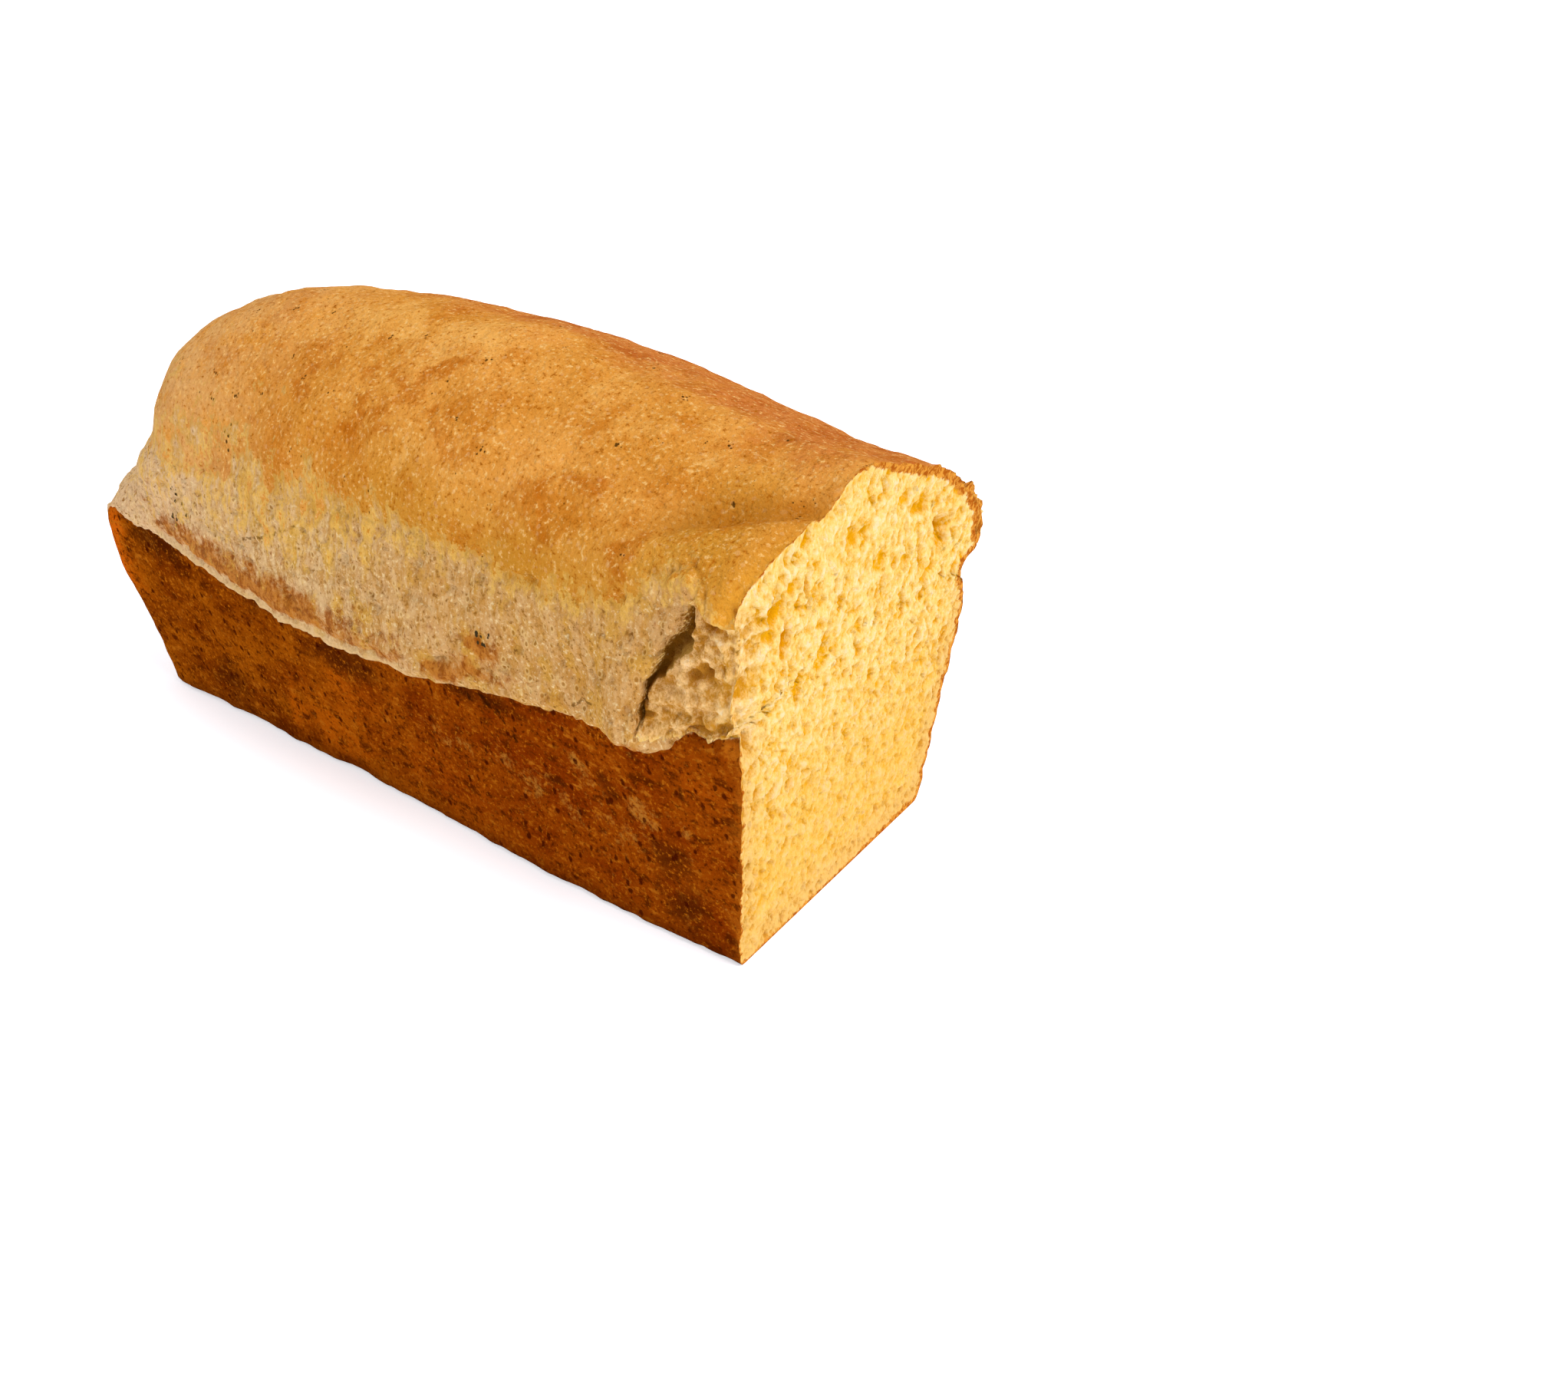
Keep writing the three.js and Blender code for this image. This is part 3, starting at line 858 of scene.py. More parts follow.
def span(bottom, top, left, right, up, across):
    """A sheet between four edges that share their corners."""
    low, high = along(bottom, across), along(top, across)
    start, end = along(left, up), along(right, up)
    v, u = up[:, None, None], across[None, :, None]
    sheet = mix(low[None], high[None], v) + mix(start[:, None], end[:, None], u)
    corners = mix(mix(bottom[0], bottom[-1], u), mix(top[0], top[-1], u), v)
    return sheet - corners


def zip_loops(outer, outer_at, inner, inner_at):
    """Triangles between two closed loops, by each point's place from 0 to 4 on its loop."""
    triangles = []
    i = j = 0
    while i < len(outer) or j < len(inner):
        next_outer = outer_at[i + 1] if i + 1 < len(outer) else 4 if i < len(outer) else 9
        next_inner = inner_at[j + 1] if j + 1 < len(inner) else 4 if j < len(inner) else 9
        a, b = outer[i % len(outer)], inner[j % len(inner)]
        if next_outer <= next_inner:
            triangles.append((a, outer[(i + 1) % len(outer)], b))
            i += 1
        else:
            triangles.append((a, inner[(j + 1) % len(inner)], b))
            j += 1
    return triangles


def ring(grid):
    """The numbers round a grid: along its bottom, up its right side, back along its top and down."""
    return np.concatenate([grid[0, :-1], grid[:-1, -1], grid[-1, :0:-1], grid[:0:-1, 0]])


def ring_places(up, across):
    """Where each point of such a ring is, with its corners at 0, 1, 2 and 3."""
    c, r = np.asarray(across), np.asarray(up)
    return np.concatenate([c[:-1], 1 + r[:-1], 3 - c[:0:-1], 4 - r[:0:-1]])


def even_heights(left, right, count):
    """Shares of the way up the face's sides that are even in height."""
    height = np.maximum.accumulate(0.5 * (left[:, 2] + right[:, 2])) + 1e-6 * np.arange(len(left))
    wanted = np.linspace(FACE_INSET, 1 - FACE_INSET, count) * height[-1]
    return np.interp(wanted, height, np.linspace(0, 1, len(left)))


def nearest(points, others):
    """Each point's distance across and up to the nearest of some others."""
    gaps = []
    for part in np.array_split(points[:, 1:], PARTS):
        steps = others[None, :, 1:] - part[:, None]
        gaps.append(np.hypot(steps[..., 0], steps[..., 1]).min(axis=1))
    return np.concatenate(gaps)


def add_crust(mesh):
    """The walls and the dome. Returns the numbers of both grids."""
    rows = wall_rows()
    walls = mesh.add(rows)
    shoulder = walls[-1]
    sheet = dome_rows(rows[-1])
    dome = np.zeros((LONG + 1, ACROSS + 1), int)
    dome[:-1, 1:-1] = mesh.add(sheet[:-1, 1:-1])
    dome[:, 0] = shoulder[: LONG + 1]
    dome[:, -1] = shoulder[LONG + ACROSS :][::-1]
    dome[-1] = shoulder[LONG : LONG + ACROSS + 1]
    mesh.grid(walls[::-1], CRUST)
    mesh.grid(dome[::-1, ::-1], CRUST)
    return walls, dome


def rows_above_rim():
    """How far each wall row is above the wall's top, in millimetres along the surface."""
    edge = np.full(ROWS["edge"], -RIM_HEIGHT)
    wall = np.linspace(-RIM_HEIGHT, 0, ROWS["wall"], endpoint=False)
    lip = np.linspace(0, LIP_LENGTH, ROWS["lip"], endpoint=False)
    band = LIP_LENGTH + BAND_LENGTH * np.linspace(0, 1, ROWS["band"] + 1)
    return np.concatenate([edge, wall, lip, band])


def uneven_rim(p):
    """How far the wall's brown reaches up unevenly behind and at the far end."""
    x, y, z = p.T
    behind = np.maximum(ramp(y, 20, 40), ramp(-x, 112, 122)) * bell(z, RIM_HEIGHT, 12)
    return behind * (2.6 * noise(p, (20, 20, 12), 85) + 1.2 * noise(p, 6, 86))


def fray_rim(mesh, smooth, walls, dome):
    """Makes the crust's edge round the cut uneven, and sets it back onto the cut."""
    rim = np.unique(np.concatenate([walls[1:, 0], walls[1:, -1], dome[0]]))
    still = smooth[rim]
    for axis, seed in ((1, 61), (2, 62)):
        shift = 0.6 * noise(still, 3.2, seed) + 0.45 * noise(still, 1.6, seed + 2)
        shift = shift * (1 + 0.7 * ramp(still[:, 1], 20, 40))
        mesh.points[rim, axis] += shift * ramp(still[:, 2], 1, 5)
    rim = np.concatenate([walls[:, 0], walls[:, -1], dome[0]])
    _, y, z = mesh.points[rim].T
    mesh.points[rim, 0] = cut_x(y, z) - EDGE_ROUNDING * soft_edge(y, z)


def skin_attributes(p, torn, above_rim):
    """What the materials read on the walls and the dome, from the points of the smooth form."""
    x, y, z = p.T
    to_cut = cut_x(y, z) - x
    return {
        "above_rim": above_rim,
        "crust_edge": crust_edge(p),
        "torn": torn * (1 - 0.4 * bell(to_cut, 0, 6)),
        "slot": slot_inside(p),
        "slot_right": np.clip(right_of_tear(p), -FAR, FAR),
        "to_cut": to_cut + FAR * (1 - soft_edge(y, z)),
        "stain": stain_share(p),
        "strip": strip_share(p),
        "crack": line_gap(p, CRACKS),
        **{name: side_spots(p, places) for name, places in SIDE_MARKS.items()},
        **{name: dome_spots(p, places) for name, places in DOME_MARKS.items()},
        "fold": fold_share(p),
        "ruddy": ruddy_share(p),
        "pallor": pallor_share(p),
        "pores": torn * (0.6 + 0.7 * torn_pits(p) - 0.9 * noise(p, 3.2, 32)),
        "inside_rim": np.full(len(p), FAR),
    }


def shape_skin(mesh, walls, dome):
    """Gives the walls and the dome their relief. Returns their attributes."""
    smooth = mesh.points.copy()
    above_rim = np.full(len(smooth), DOME_ABOVE_RIM)
    above_rim[walls] = rows_above_rim()[:, None]
    above_rim += uneven_rim(smooth)
    torn = torn_part(smooth)
    relief = crust_relief(smooth, torn, above_rim)
    mesh.points = smooth + mesh.normals() * relief[:, None] + far_shift(smooth)
    mesh.points[:, 0] -= edge_rounding(smooth)
    mesh.points[walls[0], 2] = 0
    fray_rim(mesh, smooth, walls, dome)
    return skin_attributes(smooth, torn, above_rim)


def carve_face(flat, rim):
    """Moves the face's points onto the cut, with its pores. Returns their attributes."""
    y, z = flat[:, 1], flat[:, 2]
    depth, pores = face_depth(flat)
    from_edge = nearest(flat, rim)
    inside_rim = from_edge - rim_width(y, z)
    depth = depth * ramp(from_edge, -0.5, 2.5) * mix(0.45, 1, ramp(inside_rim, -0.5, 1.5))
    rounded = soft_edge(y, z) * bell(from_edge, 0, ROUNDED_WIDTH)
    flat[:, 0] = cut_x(y, z) - depth - EDGE_ROUNDING * rounded
    torn = 0.6 * rounded * fall(z, 92, 100)
    return {"pores": pores, "torn": torn, "inside_rim": inside_rim}


def add_face(mesh, walls, dome):
    """The cut face. Returns the numbers of its foot, rim and fine grid, and the grid's attributes."""
    places = np.linspace(0, 1, ACROSS + 1)
    ends = mesh.points[walls[0, [0, -1]]]
    foot = mesh.add(mix(ends[0], ends[1], places[1:-1, None]))
    bottom = np.concatenate([walls[0, :1], foot, walls[0, -1:]])
    rim = np.concatenate([bottom[:-1], walls[:-1, -1], dome[0, :0:-1], walls[:0:-1, 0]])
    edges = [mesh.points[ids] for ids in (bottom, dome[0], walls[:, 0], walls[:, -1])]
    up = even_heights(edges[2], edges[3], FACE_ROWS + 1)
    across = np.linspace(FACE_INSET, 1 - FACE_INSET, FACE_COLUMNS + 1)
    sheet = span(*edges, up, across)
    flat = sheet.reshape(-1, 3)
    attributes = carve_face(flat, mesh.points[rim])
    face = mesh.add(flat.reshape(sheet.shape))
    mesh.grid(face, CRUMB)
    rim_places = ring_places(np.linspace(0, 1, len(walls)), places)
    mesh.join(zip_loops(rim, rim_places, ring(face), ring_places(up, across)), CRUMB)
    return foot, rim, face, attributes


def add_base(mesh, outline):
    """The flat base, as a fan inside its outline."""
    middle = mesh.add([[0, 0, 0]])[0]
    following = np.roll(outline, -1)
    mesh.join([(middle, a, b) for a, b in zip(outline, following)], CRUST)


def spread_attributes(of_skin, of_face, face, count):
    """The attributes of all points, from the skin's and the face's."""
    attributes = {}
    for name, values in of_skin.items():
        rest = np.full(count - len(values), OFF_SKIN.get(name, 0))
        attributes[name] = np.concatenate([values, rest])
    for name, values in of_face.items():
        attributes[name][face.ravel()] = values
    return attributes


def build_loaf():
    """The whole mesh, and the attributes that the materials read."""
    mesh = Mesh()
    walls, dome = add_crust(mesh)
    of_skin = shape_skin(mesh, walls, dome)
    foot, rim, face, of_face = add_face(mesh, walls, dome)
    add_base(mesh, np.concatenate([walls[0], foot[::-1]]))
    attributes = spread_attributes(of_skin, of_face, face, len(mesh.points))
    thickness = rim_width(mesh.points[rim, 1], mesh.points[rim, 2])
    attributes["inside_rim"][rim] = np.where(attributes["torn"][rim] < TORN_SHARE, -thickness, FAR)
    mesh.materials = [choose(*pair, attributes) for pair in zip(mesh.triangles, mesh.materials)]
    return mesh, attributes


def choose(triangles, materials, attributes):
    """Gives the wall's and the torn crumb's triangles their own materials."""
    torn = attributes["torn"][triangles].mean(axis=1)
    above = attributes["above_rim"][triangles].mean(axis=1)
    materials = np.where((materials == CRUST) & (above < 0), WALL, materials)
    return np.where((materials == CRUST) & (torn > TORN_SHARE), CRUMB, materials)


def loaf_object(mesh, attributes, materials):
    points = (mesh.points - [*CENTRE, 0]) * MM
    triangles = np.concatenate(mesh.triangles)
    data = bpy.data.meshes.new("loaf_look")
    data.from_pydata(points.tolist(), [], triangles.tolist())
    for name, values in attributes.items():
        made = data.attributes.new(name, "FLOAT", "POINT")
        made.data.foreach_set("value", values.astype(np.float32))
    for material in materials:
        data.materials.append(material)
    data.polygons.foreach_set("material_index", np.concatenate(mesh.materials).astype(np.int32))
    data.polygons.foreach_set("use_smooth", np.ones(len(triangles), bool))
    data.update()
    made = bpy.data.objects.new("loaf_look", data)
    bpy.context.scene.collection.objects.link(made)
    return made


# Materials


class Shading:
    """A material's nodes, with textures measured in millimetres on the loaf."""

    def __init__(self, name, subsurface):
        self.material = bpy.data.materials.new(name)
        self.material.use_nodes = True
        self.tree = self.material.node_tree
        self.shader = self.tree.nodes["Principled BSDF"]
        self.shader.inputs["Subsurface Weight"].default_value = subsurface
        self.shader.inputs["Subsurface Radius"].default_value = (1.0, 0.6, 0.3)
        self.shader.inputs["Subsurface Scale"].default_value = 0.001
        self.shader.inputs["Specular IOR Level"].default_value = 0.0
        place = self.node("ShaderNodeTexCoord").outputs["Object"]
        self.place = self.vector("MULTIPLY", place, (1 / MM, 1 / MM, 1 / MM))

    def node(self, kind, inputs=(), **settings):
        made = self.tree.nodes.new(kind)
        for name, value in settings.items():
            setattr(made, name, value)
        for name, value in dict(inputs).items():
            self.fill(made.inputs[name], value)
        return made

    def fill(self, socket, value):
        """Links a socket to another one, or gives it a value."""
        if isinstance(value, bpy.types.NodeSocket):
            self.tree.links.new(value, socket)
        else:
            socket.default_value = value

    def vector(self, operation, a, b):
        return self.node("ShaderNodeVectorMath", {0: a, 1: b}, operation=operation).outputs[0]

    def value(self, name):
        """An attribute of the mesh."""
        return self.node("ShaderNodeAttribute", attribute_name=name).outputs["Fac"]

    def axis(self, name):
        return self.node("ShaderNodeSeparateXYZ", {0: self.place}).outputs[name]

    def math(self, operation, a, b):
        return self.node("ShaderNodeMath", {0: a, 1: b}, operation=operation).outputs[0]

    def add(self, a, b):
        return self.math("ADD", a, b)

    def times(self, a, b):
        return self.math("MULTIPLY", a, b)

    def ramp(self, value, low, high):
        """0 up to low, 1 from high on, smooth between. High below low turns it round."""
        inputs = {"Value": value, "From Min": low, "From Max": high}
        made = self.node("ShaderNodeMapRange", inputs, interpolation_type="SMOOTHSTEP")
        return made.outputs["Result"]

    def sized(self, size, shift):
        """Places for a texture whose lumps are that many millimetres, across, along and up."""
        scale = size if isinstance(size, tuple) else (size, size, size)
        place = self.vector("MULTIPLY", self.place, tuple(1 / s for s in scale))
        return self.vector("ADD", place, (shift, 1.7 * shift, 2.3 * shift))

    def noise(self, size, detail, rough, shift):
        """Noise about 0.5."""
        inputs = {"Vector": self.sized(size, shift), "Scale": 1.0, "Detail": detail, "Roughness": rough}
        return self.node("ShaderNodeTexNoise", inputs).outputs["Fac"]

    def swing(self, noise, reach):
        """Turns noise about 0.5 into noise about 0, mostly within a quarter of its reach."""
        return self.times(self.math("SUBTRACT", noise, 0.5), reach)

    def wobble(self, size, reach, shift, detail=4):
        return self.swing(self.noise(size, detail, 0.7, shift), reach)

    def ragged(self, name, *wobble):
        """An attribute of the mesh with a wobble, which makes its outline uneven."""
        return self.add(self.value(name), self.wobble(*wobble))

    def cells(self, size, shift):
        """Distance to the nearest of scattered points."""
        inputs = {"Vector": self.sized(size, shift), "Scale": 1.0}
        return self.node("ShaderNodeTexVoronoi", inputs).outputs["Distance"]

    def mix(self, share, a, b):
        """Mixes two colours, each a socket or the sRGB values, 0 to 255, that it shows in this light."""
        made = self.node("ShaderNodeMix", {"Factor": share}, data_type="RGBA")
        for socket, colour in ((made.inputs[6], a), (made.inputs[7], b)):
            self.fill(socket, paint(*colour) if isinstance(colour, tuple) else colour)
        return made.outputs[2]

    def layered(self, colour, layers):
        """Lays further colours over one, each where its share says and as thick as its strength."""
        for other, share, strength in layers:
            colour = self.mix(self.times(share, strength), colour, other)
        return colour

    def finish(self, colour, roughness, height, depth):
        self.tree.links.new(colour, self.shader.inputs["Base Color"])
        self.tree.links.new(roughness, self.shader.inputs["Roughness"])
        bump = self.node("ShaderNodeBump", {"Height": height, "Strength": 1.0, "Distance": depth * MM})
        self.tree.links.new(bump.outputs["Normal"], self.shader.inputs["Normal"])
        return self.material


def paint(red, green, blue):
    """A surface's colour from the sRGB values, 0 to 255, that it shows in this light."""
    shown = (red / 255, green / 255, blue / 255)
    linear = [v / 12.92 if v <= 0.04045 else ((v + 0.055) / 1.055) ** 2.4 for v in shown]
    return (*(v / LIGHT for v in linear), 1)


def speckled(s, colour, light, dark, size, shift):
    """Fine light and dark grain over a colour."""
    grain = s.noise(size, 3, 0.65, shift)
    colour = s.mix(s.ramp(grain, 0.54, 0.72), colour, light)
    return s.mix(s.ramp(grain, 0.46, 0.28), colour, dark)


def with_slot(s, colour):
    """Adds painted shade in the tear's slot, lighter towards its right side."""
    inside = s.ragged("slot", 1.2, 2.4, 21)
    right = s.ramp(s.ragged("slot_right", 2.4, 6, 22), 0.6, 4.8)
    slot_shade = s.mix(right, (150, 96, 22), (198, 148, 66))
    return s.mix(s.ramp(inside, -0.15, 0.25), colour, slot_shade)


def with_scorches(s, colour, dark):
    """Adds tiny dark dots where the crust is scorched."""
    dots = s.add(s.cells((1.5, 1.5, 2), 8), s.ramp(s.value("scorch"), 0.6, 0))
    return s.mix(s.ramp(dots, 0.36, 0.24), colour, dark)


def tin_browns(s, broad):
    """The wall's browns, from its dark streaks to its orange patches, with a painted rim light at the
    far corner.
    """
    streaks = s.noise((6, 6, 3.2), 5, 0.7, 2)
    colour = s.mix(s.ramp(broad, 0.38, 0.62), (124, 51, 1), (160, 80, 5))
    return s.layered(colour, [
        ((188, 90, 6), s.ramp(s.ragged("glow", 9, 2, 5), 0, 1.1), 0.85),
        ((140, 46, 2), s.ramp(s.axis("X"), -40, 60), 0.45),
        # painted rim light, which only the far corner's strong mark reaches
        ((222, 102, 14), s.ramp(s.ragged("glow", 4, 2.4, 35), 0.8, 2), 0.8),
        ((88, 31, 1), s.ramp(streaks, 0.51, 0.65), 0.9),
        ((190, 108, 22), s.ramp(streaks, 0.44, 0.32), 0.8),
    ])


def with_wall_patches(s, colour):
    """Adds the wall's dark patches, those under the lip painted shade, its pale patches and its paler
    edge at the cut.
    """
    dark = s.add(s.value("dark"), s.noise((5, 5, 3.4), 5, 0.75, 5))
    pale = s.add(s.ragged("patch", 3, 3, 9), s.wobble(1, 2.2, 29))
    to_cut = s.add(s.ragged("to_cut", 5, 14, 32), s.wobble(1.5, 8, 33))
    return s.layered(colour, [
        # darker crust, and painted shade under the lip
        ((74, 28, 3), s.ramp(dark, 0.8, 1.5), 0.8),
        ((196, 128, 46), s.ramp(pale, 0.3, 1.3), 0.8),
        ((196, 110, 24), s.ramp(to_cut, 13, 5), 0.65),
    ])


def wall_colour(s):
    """The brown wall that the tin baked, darker towards its foot, with painted shade along its base
    edge.
    """
    broad = s.noise((26, 26, 15), 4, 0.6, 1)
    colour = with_wall_patches(s, tin_browns(s, broad))
    colour = speckled(s, colour, (190, 106, 18), (84, 28, 1), 1.1, 12)
    pits = s.add(s.cells((4, 4, 5.6), 3), s.wobble(1.4, 0.4, 24))
    crack = s.ragged("crack", 2.5, 3.6, 6)
    foot = s.add(s.axis("Z"), s.times(broad, 14))
    return s.layered(colour, [
        ((66, 12, 1), s.ramp(pits, 0.22, 0.12), 0.85),
        ((56, 20, 2), s.ramp(crack, 0.9, 0.3), 0.85),
        ((84, 30, 1), s.ramp(foot, 16, 8), 0.55),
        # painted shade where the wall meets the floor
        ((44, 16, 2), s.ramp(s.axis("Z"), 1.8, 0.4), 1),
    ])


def dough_tones(s):
    """The pale band's fibres and its broad changes of tone."""
    fibres = s.noise((1.8, 1.8, 6), 5, 0.7, 1)
    patches = s.noise((7, 7, 13), 4, 0.6, 4)
    colour = s.mix(s.ramp(fibres, 0.36, 0.64), (206, 154, 86), (238, 200, 146))
    return s.layered(colour, [
        ((228, 176, 74), s.ramp(patches, 0.52, 0.64), 0.75),
        ((228, 186, 134), s.ramp(patches, 0.46, 0.34), 0.7),
        ((212, 146, 52), s.ramp(s.axis("X"), -20, 70), 0.45),
        ((244, 204, 160), s.value("pallor"), 0.6),
        ((232, 172, 84), s.ramp(s.axis("Y"), 10, 40), 0.5),
    ])


def with_bubbles(s, colour):
    """Adds the band's opened bubbles as painted shade inside them, some with a painted highlight ring.
    """
    bubble = s.cells((2.5, 2.5, 3.6), 2)
    often = s.ramp(s.noise(9, 2, 0.5, 23), 0.42, 0.6)
    highlight_rings = s.times(s.times(s.ramp(bubble, 0.14, 0.22), s.ramp(bubble, 0.34, 0.24)), often)
    return s.layered(colour, [
        # painted highlight rings, then painted shade inside the bubbles
        ((250, 212, 140), highlight_rings, 0.5),
        ((160, 106, 34), s.ramp(bubble, 0.21, 0.12), 0.65),
    ])


def band_colour(s):
    """The pale stretched dough between the wall and the golden crust."""
    colour = speckled(s, dough_tones(s), (252, 220, 162), (154, 102, 38), 1.1, 14)
    colour = with_bubbles(s, colour)
    mottle = s.noise((2.2, 2.2, 3.2), 5, 0.75, 3)
    brown = s.mix(s.ramp(mottle, 0.44, 0.6), (202, 126, 46), (154, 78, 8))
    stain = s.add(s.ragged("stain", (6, 6, 5), 1.8, 13), s.times(mottle, 1.8))
    crack = s.ragged("crack", 2.5, 1.6, 6)
    colour = s.layered(colour, [
        ((238, 200, 142), s.value("strip"), 0.7),
        (brown, s.ramp(stain, 1.05, 1.75), 0.92),
        ((120, 80, 26), s.ramp(crack, 0.5, 0.2), 0.8),
    ])
    return with_slot(s, with_scorches(s, colour, (66, 54, 32)))


def golden_tones(s):
    """The dome's golden browns, with its darker blotches and its lighter patches, those along the top
    partly a painted highlight.
    """
    broad = s.noise(30, 4, 0.55, 3)
    low = s.times(s.ramp(s.value("crust_edge"), 18, 2), s.ramp(s.axis("X"), -20, 50))
    dark = s.ragged("blotch", 5, 3, 6, 6)
    bright = s.ragged("bright", 5, 3, 19, 6)
    pale = s.times(s.value("pallor"), s.ramp(s.noise(7, 5, 0.72, 6), 0.68, 0.4))
    colour = s.mix(s.ramp(broad, 0.36, 0.64), (224, 148, 56), (240, 166, 76))
    return s.layered(colour, [
        ((210, 146, 44), low, 0.7),
        ((204, 116, 20), s.ramp(s.noise(13, 6, 0.7, 16), 0.49, 0.62), 0.55),
        ((196, 106, 14), s.ramp(dark, 0.2, 1.1), 0.8),
        # lighter patches, partly a painted highlight along the top
        ((252, 188, 98), s.ramp(bright, 0.2, 1.2), 0.6),
        ((228, 178, 118), pale, 0.8),
    ])


def reddened(s, colour):
    """Adds the redder part of the dome."""
    wobble = s.add(s.wobble(16, 2.2, 7, 6), s.wobble(3, 1.2, 38))
    reach = s.add(s.times(s.value("ruddy"), 1.4), wobble)
    red = s.mix(s.ramp(s.noise(10, 5, 0.7, 39), 0.46, 0.62), (212, 124, 60), (188, 94, 38))
    return s.layered(colour, [(red, s.ramp(reach, 0.2, 1.5), 0.9)])


def glints_share(s):
    """Painted glints, light flecks of sheen: small ones in swarms away from the redder part, and a few
    larger ones.
    """
    often = s.times(s.ramp(s.noise(6, 3, 0.6, 4), 0.45, 0.65), s.ramp(s.value("ruddy"), 0.9, 0.2))
    small = s.times(s.ramp(s.cells(1.4, 5), 0.26, 0.14), often)
    large = s.ramp(s.add(s.cells(2.8, 36), s.wobble(1.2, 0.5, 37)), 0.24, 0.12)
    return s.math("MAXIMUM", small, large)


def dome_colour(s):
    """The golden crust on the dome, with painted glints and painted shade in its fold."""
    colour = reddened(s, golden_tones(s))
    colour = speckled(s, colour, (250, 198, 120), (184, 104, 16), 1.2, 15)
    near_cut = s.ragged("to_cut", 3, 8, 30)
    specks = s.add(s.cells((1, 1, 1.6), 8), s.times(s.cells((9, 9, 7), 9), 1.6))
    colour = s.layered(colour, [
        ((240, 166, 52), s.ramp(near_cut, 10, 1), 0.8),
        # painted glints
        ((248, 196, 134), glints_share(s), 0.3),
        # painted shade in the fold's valley
        ((178, 106, 22), s.value("fold"), 0.6),
        ((104, 66, 18), s.ramp(specks, 0.54, 0.4), 1),
    ])
    colour = with_scorches(s, colour, (96, 62, 22))
    at_cut = s.ragged("to_cut", 1.6, 5, 31)
    return s.mix(s.ramp(at_cut, 0.7, 0), colour, (252, 206, 100))


def above_wall_colour(s):
    """The pale band and the golden crust, which meet in drips."""
    drips = s.noise((2.6, 2.6, 10), 4, 0.7, 8)
    edge = s.add(s.ragged("crust_edge", 8, 22, 18), s.swing(drips, 20))
    edge = s.add(edge, s.wobble(1.4, 8, 28))
    yellow = s.mix(s.ramp(drips, 0.42, 0.58), (218, 160, 66), (246, 194, 92))
    colour = s.layered(band_colour(s), [(yellow, s.ramp(edge, -6, -0.5), 0.8)])
    return s.mix(s.ramp(edge, -0.8, 1.2), colour, dome_colour(s))


def rim_share(s):
    """1 on the brown wall and 0 above it, with a ragged border."""
    return s.ramp(s.ragged("above_rim", (2.6, 2.6, 2), 3, 7), 0.5, -0.5)


def crust_material():
    """The band and the dome, with the last of the wall's brown."""
    s = Shading("crust", 0.05)
    colour = s.mix(rim_share(s), above_wall_colour(s), wall_colour(s))
    grain = s.noise(1.1, 4, 0.65, 9)
    lumps = s.noise((2.2, 2.2, 3.4), 3, 0.6, 10)
    height = s.add(s.times(grain, 0.6), lumps)
    return s.finish(colour, s.ramp(grain, 1.6, -0.6), height, 1.1)


def wall_material():
    """The brown wall, with the last of the pale band."""
    s = Shading("wall", 0)
    colour = s.mix(rim_share(s), band_colour(s), wall_colour(s))
    height = s.add(s.noise(1.3, 4, 0.7, 9), s.ramp(s.cells((3.2, 3.2, 2.6), 3), 0, 0.3))
    return s.finish(colour, s.ramp(height, -1, 1), height, 0.5)


def crumb_tones(s, torn, grain):
    """The crumb's yellows, with painted shade, deeper and oranger, in its pores and a painted highlight
    on its lumps, and its beige foot and side.
    """
    opened = s.add(s.value("pores"), s.swing(grain, 4))
    light = s.mix(torn, (264, 224, 134), (266, 218, 146))
    deep = s.mix(torn, (250, 178, 14), (206, 140, 46))
    beige = s.mix(s.ramp(opened, 0, 1.4), (248, 200, 116), (210, 144, 58))
    low = s.ramp(s.add(s.axis("Z"), s.wobble(5, 16, 11)), 14, 3)
    beside = s.ramp(s.ragged("inside_rim", 4, 12, 12), 8.5, 1)
    beside = s.times(beside, s.ramp(s.axis("Z"), 72, 56))
    # deep is painted shade in the pores; the first layer is a painted highlight on the lumps
    return s.layered(s.mix(s.ramp(opened, -0.2, 1.4), light, deep), [
        ((264, 236, 190), s.ramp(opened, 0.1, -0.7), 0.75),
        ((250, 190, 70), s.ramp(s.axis("Z"), 75, 20), 0.55),
        (beige, s.math("MAXIMUM", low, beside), 0.65),
    ])


def crumb_material():
    """The cut face with the crust's thickness round it, and the torn crumb."""
    s = Shading("crumb", 0.15)
    torn = s.value("torn")
    grain = s.noise((0.9, 0.9, 1.3), 4, 0.7, 2)
    rim = s.ramp(s.ragged("inside_rim", 1.8, 3, 4), 0.3, -0.3)
    baked = s.mix(s.ramp(s.noise(1.2, 3, 0.6, 6), 0.4, 0.6), (186, 96, 22), (238, 162, 62))
    # painted shade in the gaps between the torn crumb's flakes
    shade_between_flakes = s.times(s.ramp(s.noise((3.4, 3.4, 1.8), 5, 0.7, 27), 0.5, 0.62), torn)
    colour = s.layered(crumb_tones(s, torn, grain), [(baked, rim, 1), ((194, 132, 36), shade_between_flakes, 0.36)])
    relief = s.add(grain, s.times(s.noise(1.9, 4, 0.65, 25), torn))
    return s.finish(with_slot(s, colour), s.ramp(grain, -1, 0.6), relief, 0.8)


# Stage


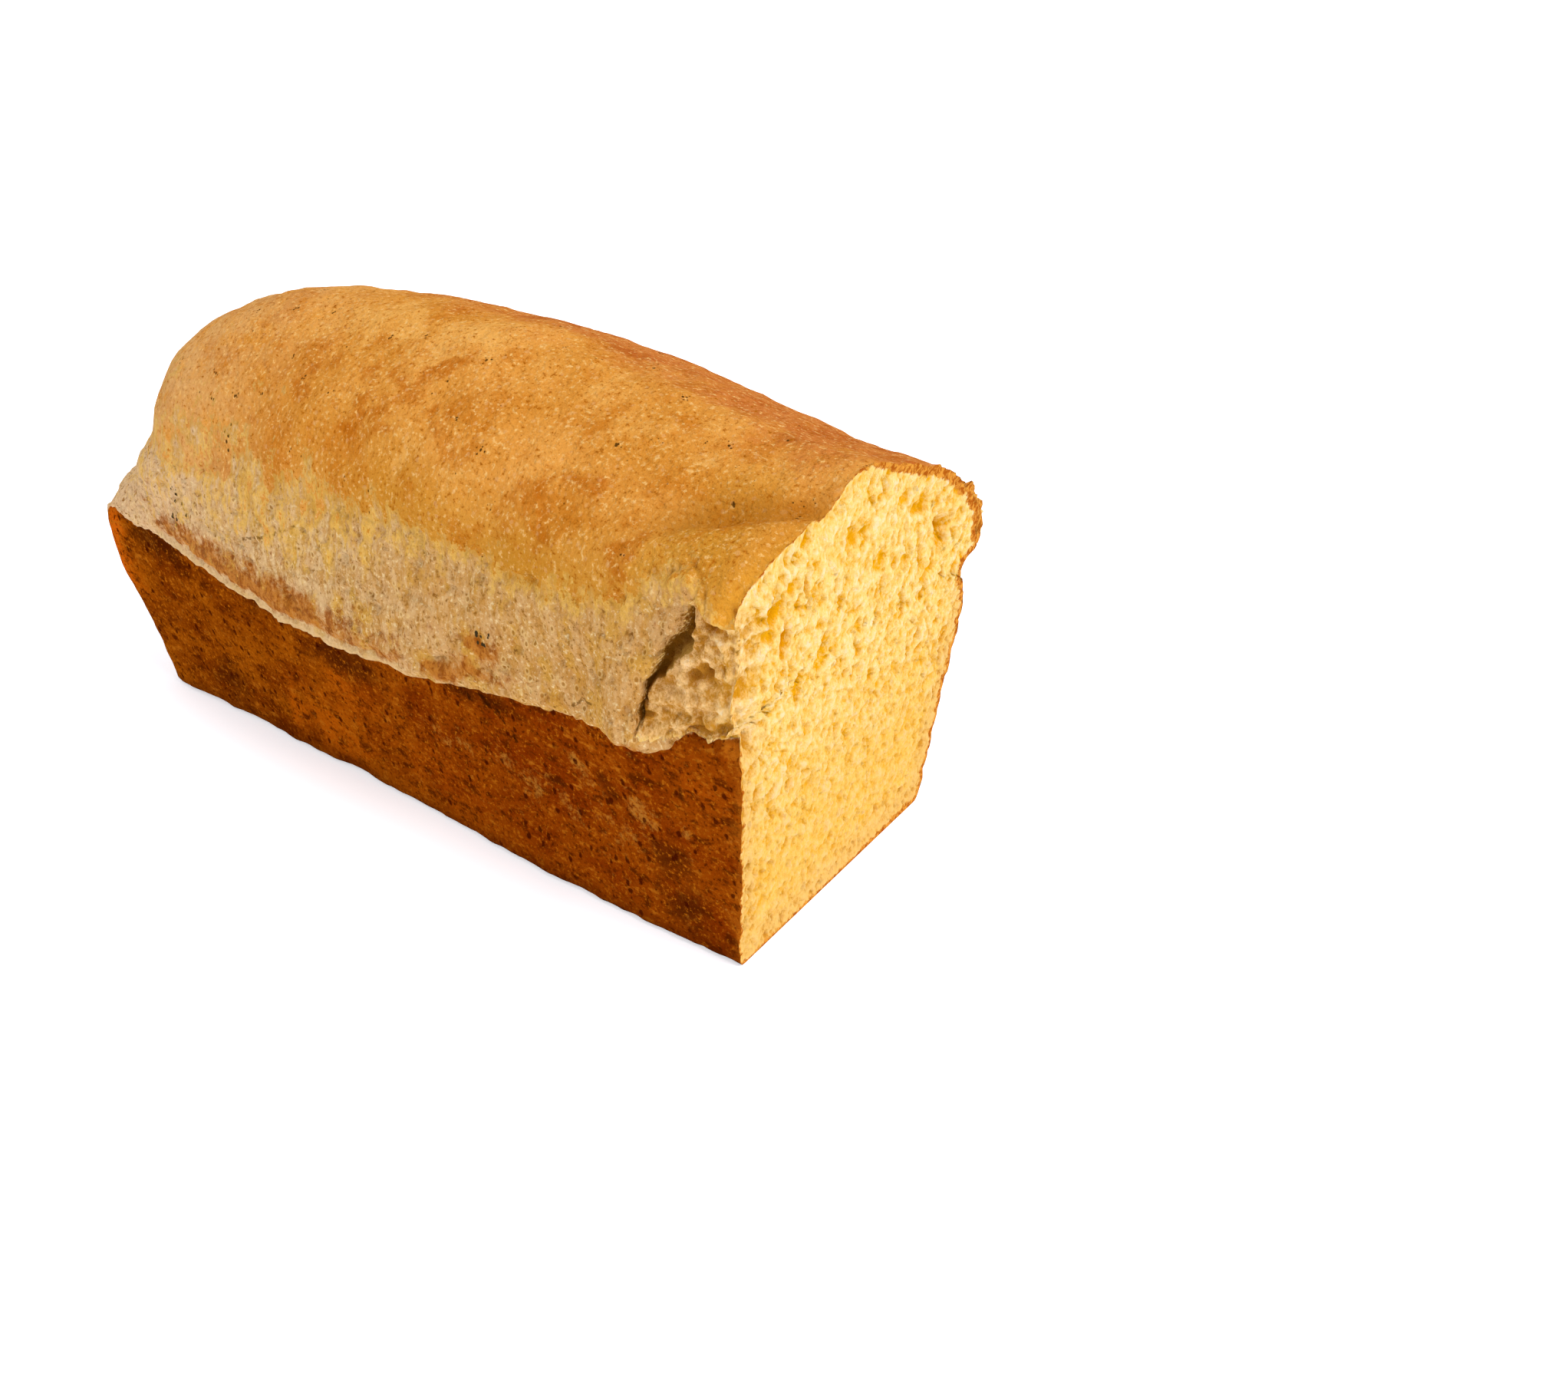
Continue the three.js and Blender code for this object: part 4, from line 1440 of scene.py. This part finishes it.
def add_floor():
    """A pale floor, which glows a little so that it is as bright as the photo's."""
    bpy.ops.mesh.primitive_plane_add(size=FLOOR_SIZE)
    floor = bpy.context.object
    floor.name = "floor"
    material = bpy.data.materials.new("floor")
    material.use_nodes = True
    shader = material.node_tree.nodes["Principled BSDF"]
    shader.inputs["Base Color"].default_value = FLOOR_COLOUR
    shader.inputs["Roughness"].default_value = 0.9
    shader.inputs["Specular IOR Level"].default_value = 0.0
    shader.inputs["Emission Color"].default_value = (1, 0.99, 1, 1)
    shader.inputs["Emission Strength"].default_value = FLOOR_GLOW
    floor.data.materials.append(material)


def add_key_light():
    """A soft light from the cut's side, as wide as its spread in degrees."""
    data = bpy.data.lights.new("key", "SUN")
    data.angle = math.radians(KEY_LIGHT["spread"])
    data.energy = KEY_LIGHT["strength"]
    data.color = KEY_LIGHT["colour"]
    lamp = bpy.data.objects.new("key", data)
    lamp.location = KEY_LIGHT["from"]
    lamp.rotation_euler = (-Vector(KEY_LIGHT["from"])).to_track_quat("-Z", "Y").to_euler()
    bpy.context.scene.collection.objects.link(lamp)


def add_world():
    """A white surround that lights softly and is pure white behind the floor."""
    world = bpy.data.worlds.new("studio")
    world.use_nodes = True
    tree = world.node_tree
    background = tree.nodes["Background"]
    background.inputs["Color"].default_value = (1, 1, 1, 1)
    seen = tree.nodes.new("ShaderNodeLightPath").outputs["Is Camera Ray"]
    strength = tree.nodes.new("ShaderNodeMapRange")
    strength.inputs["To Min"].default_value = SURROUND
    strength.inputs["To Max"].default_value = 1.0
    tree.links.new(seen, strength.inputs["Value"])
    tree.links.new(strength.outputs["Result"], background.inputs["Strength"])
    bpy.context.scene.world = world


def add_lights():
    scene = bpy.context.scene
    scene.view_settings.view_transform = "Standard"
    scene.view_settings.look = "None"
    add_world()
    add_key_light()


def add_camera():
    """The camera that took the photo, from its place, direction and roll."""
    azimuth, elevation, roll = (math.radians(a) for a in (CAMERA_AZIMUTH, CAMERA_ELEVATION, CAMERA_ROLL))
    level = math.cos(elevation)
    back = Vector((math.sin(azimuth) * level, -math.cos(azimuth) * level, math.sin(elevation)))
    right = (-back).cross(Vector((0, 0, 1))).normalized()
    up = back.cross(right)
    turned_right = right * math.cos(roll) - up * math.sin(roll)
    turned_up = right * math.sin(roll) + up * math.cos(roll)
    data = bpy.data.cameras.new("photo")
    data.sensor_width = 36
    data.sensor_fit = "HORIZONTAL"
    data.lens = CAMERA_LENS
    data.clip_start = 0.01
    camera = bpy.data.objects.new("photo", data)
    turn = Matrix((turned_right, turned_up, back)).transposed().to_4x4()
    camera.matrix_world = Matrix.Translation(Vector(CAMERA_PLACE) * MM) @ turn
    bpy.context.scene.collection.objects.link(camera)
    bpy.context.scene.camera = camera


def main():
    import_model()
    add_camera()
    mesh, attributes = build_loaf()
    loaf = loaf_object(mesh, attributes, [crust_material(), wall_material(), crumb_material()])
    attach(loaf, "root")
    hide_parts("loaf")
    add_floor()
    add_lights()


main()
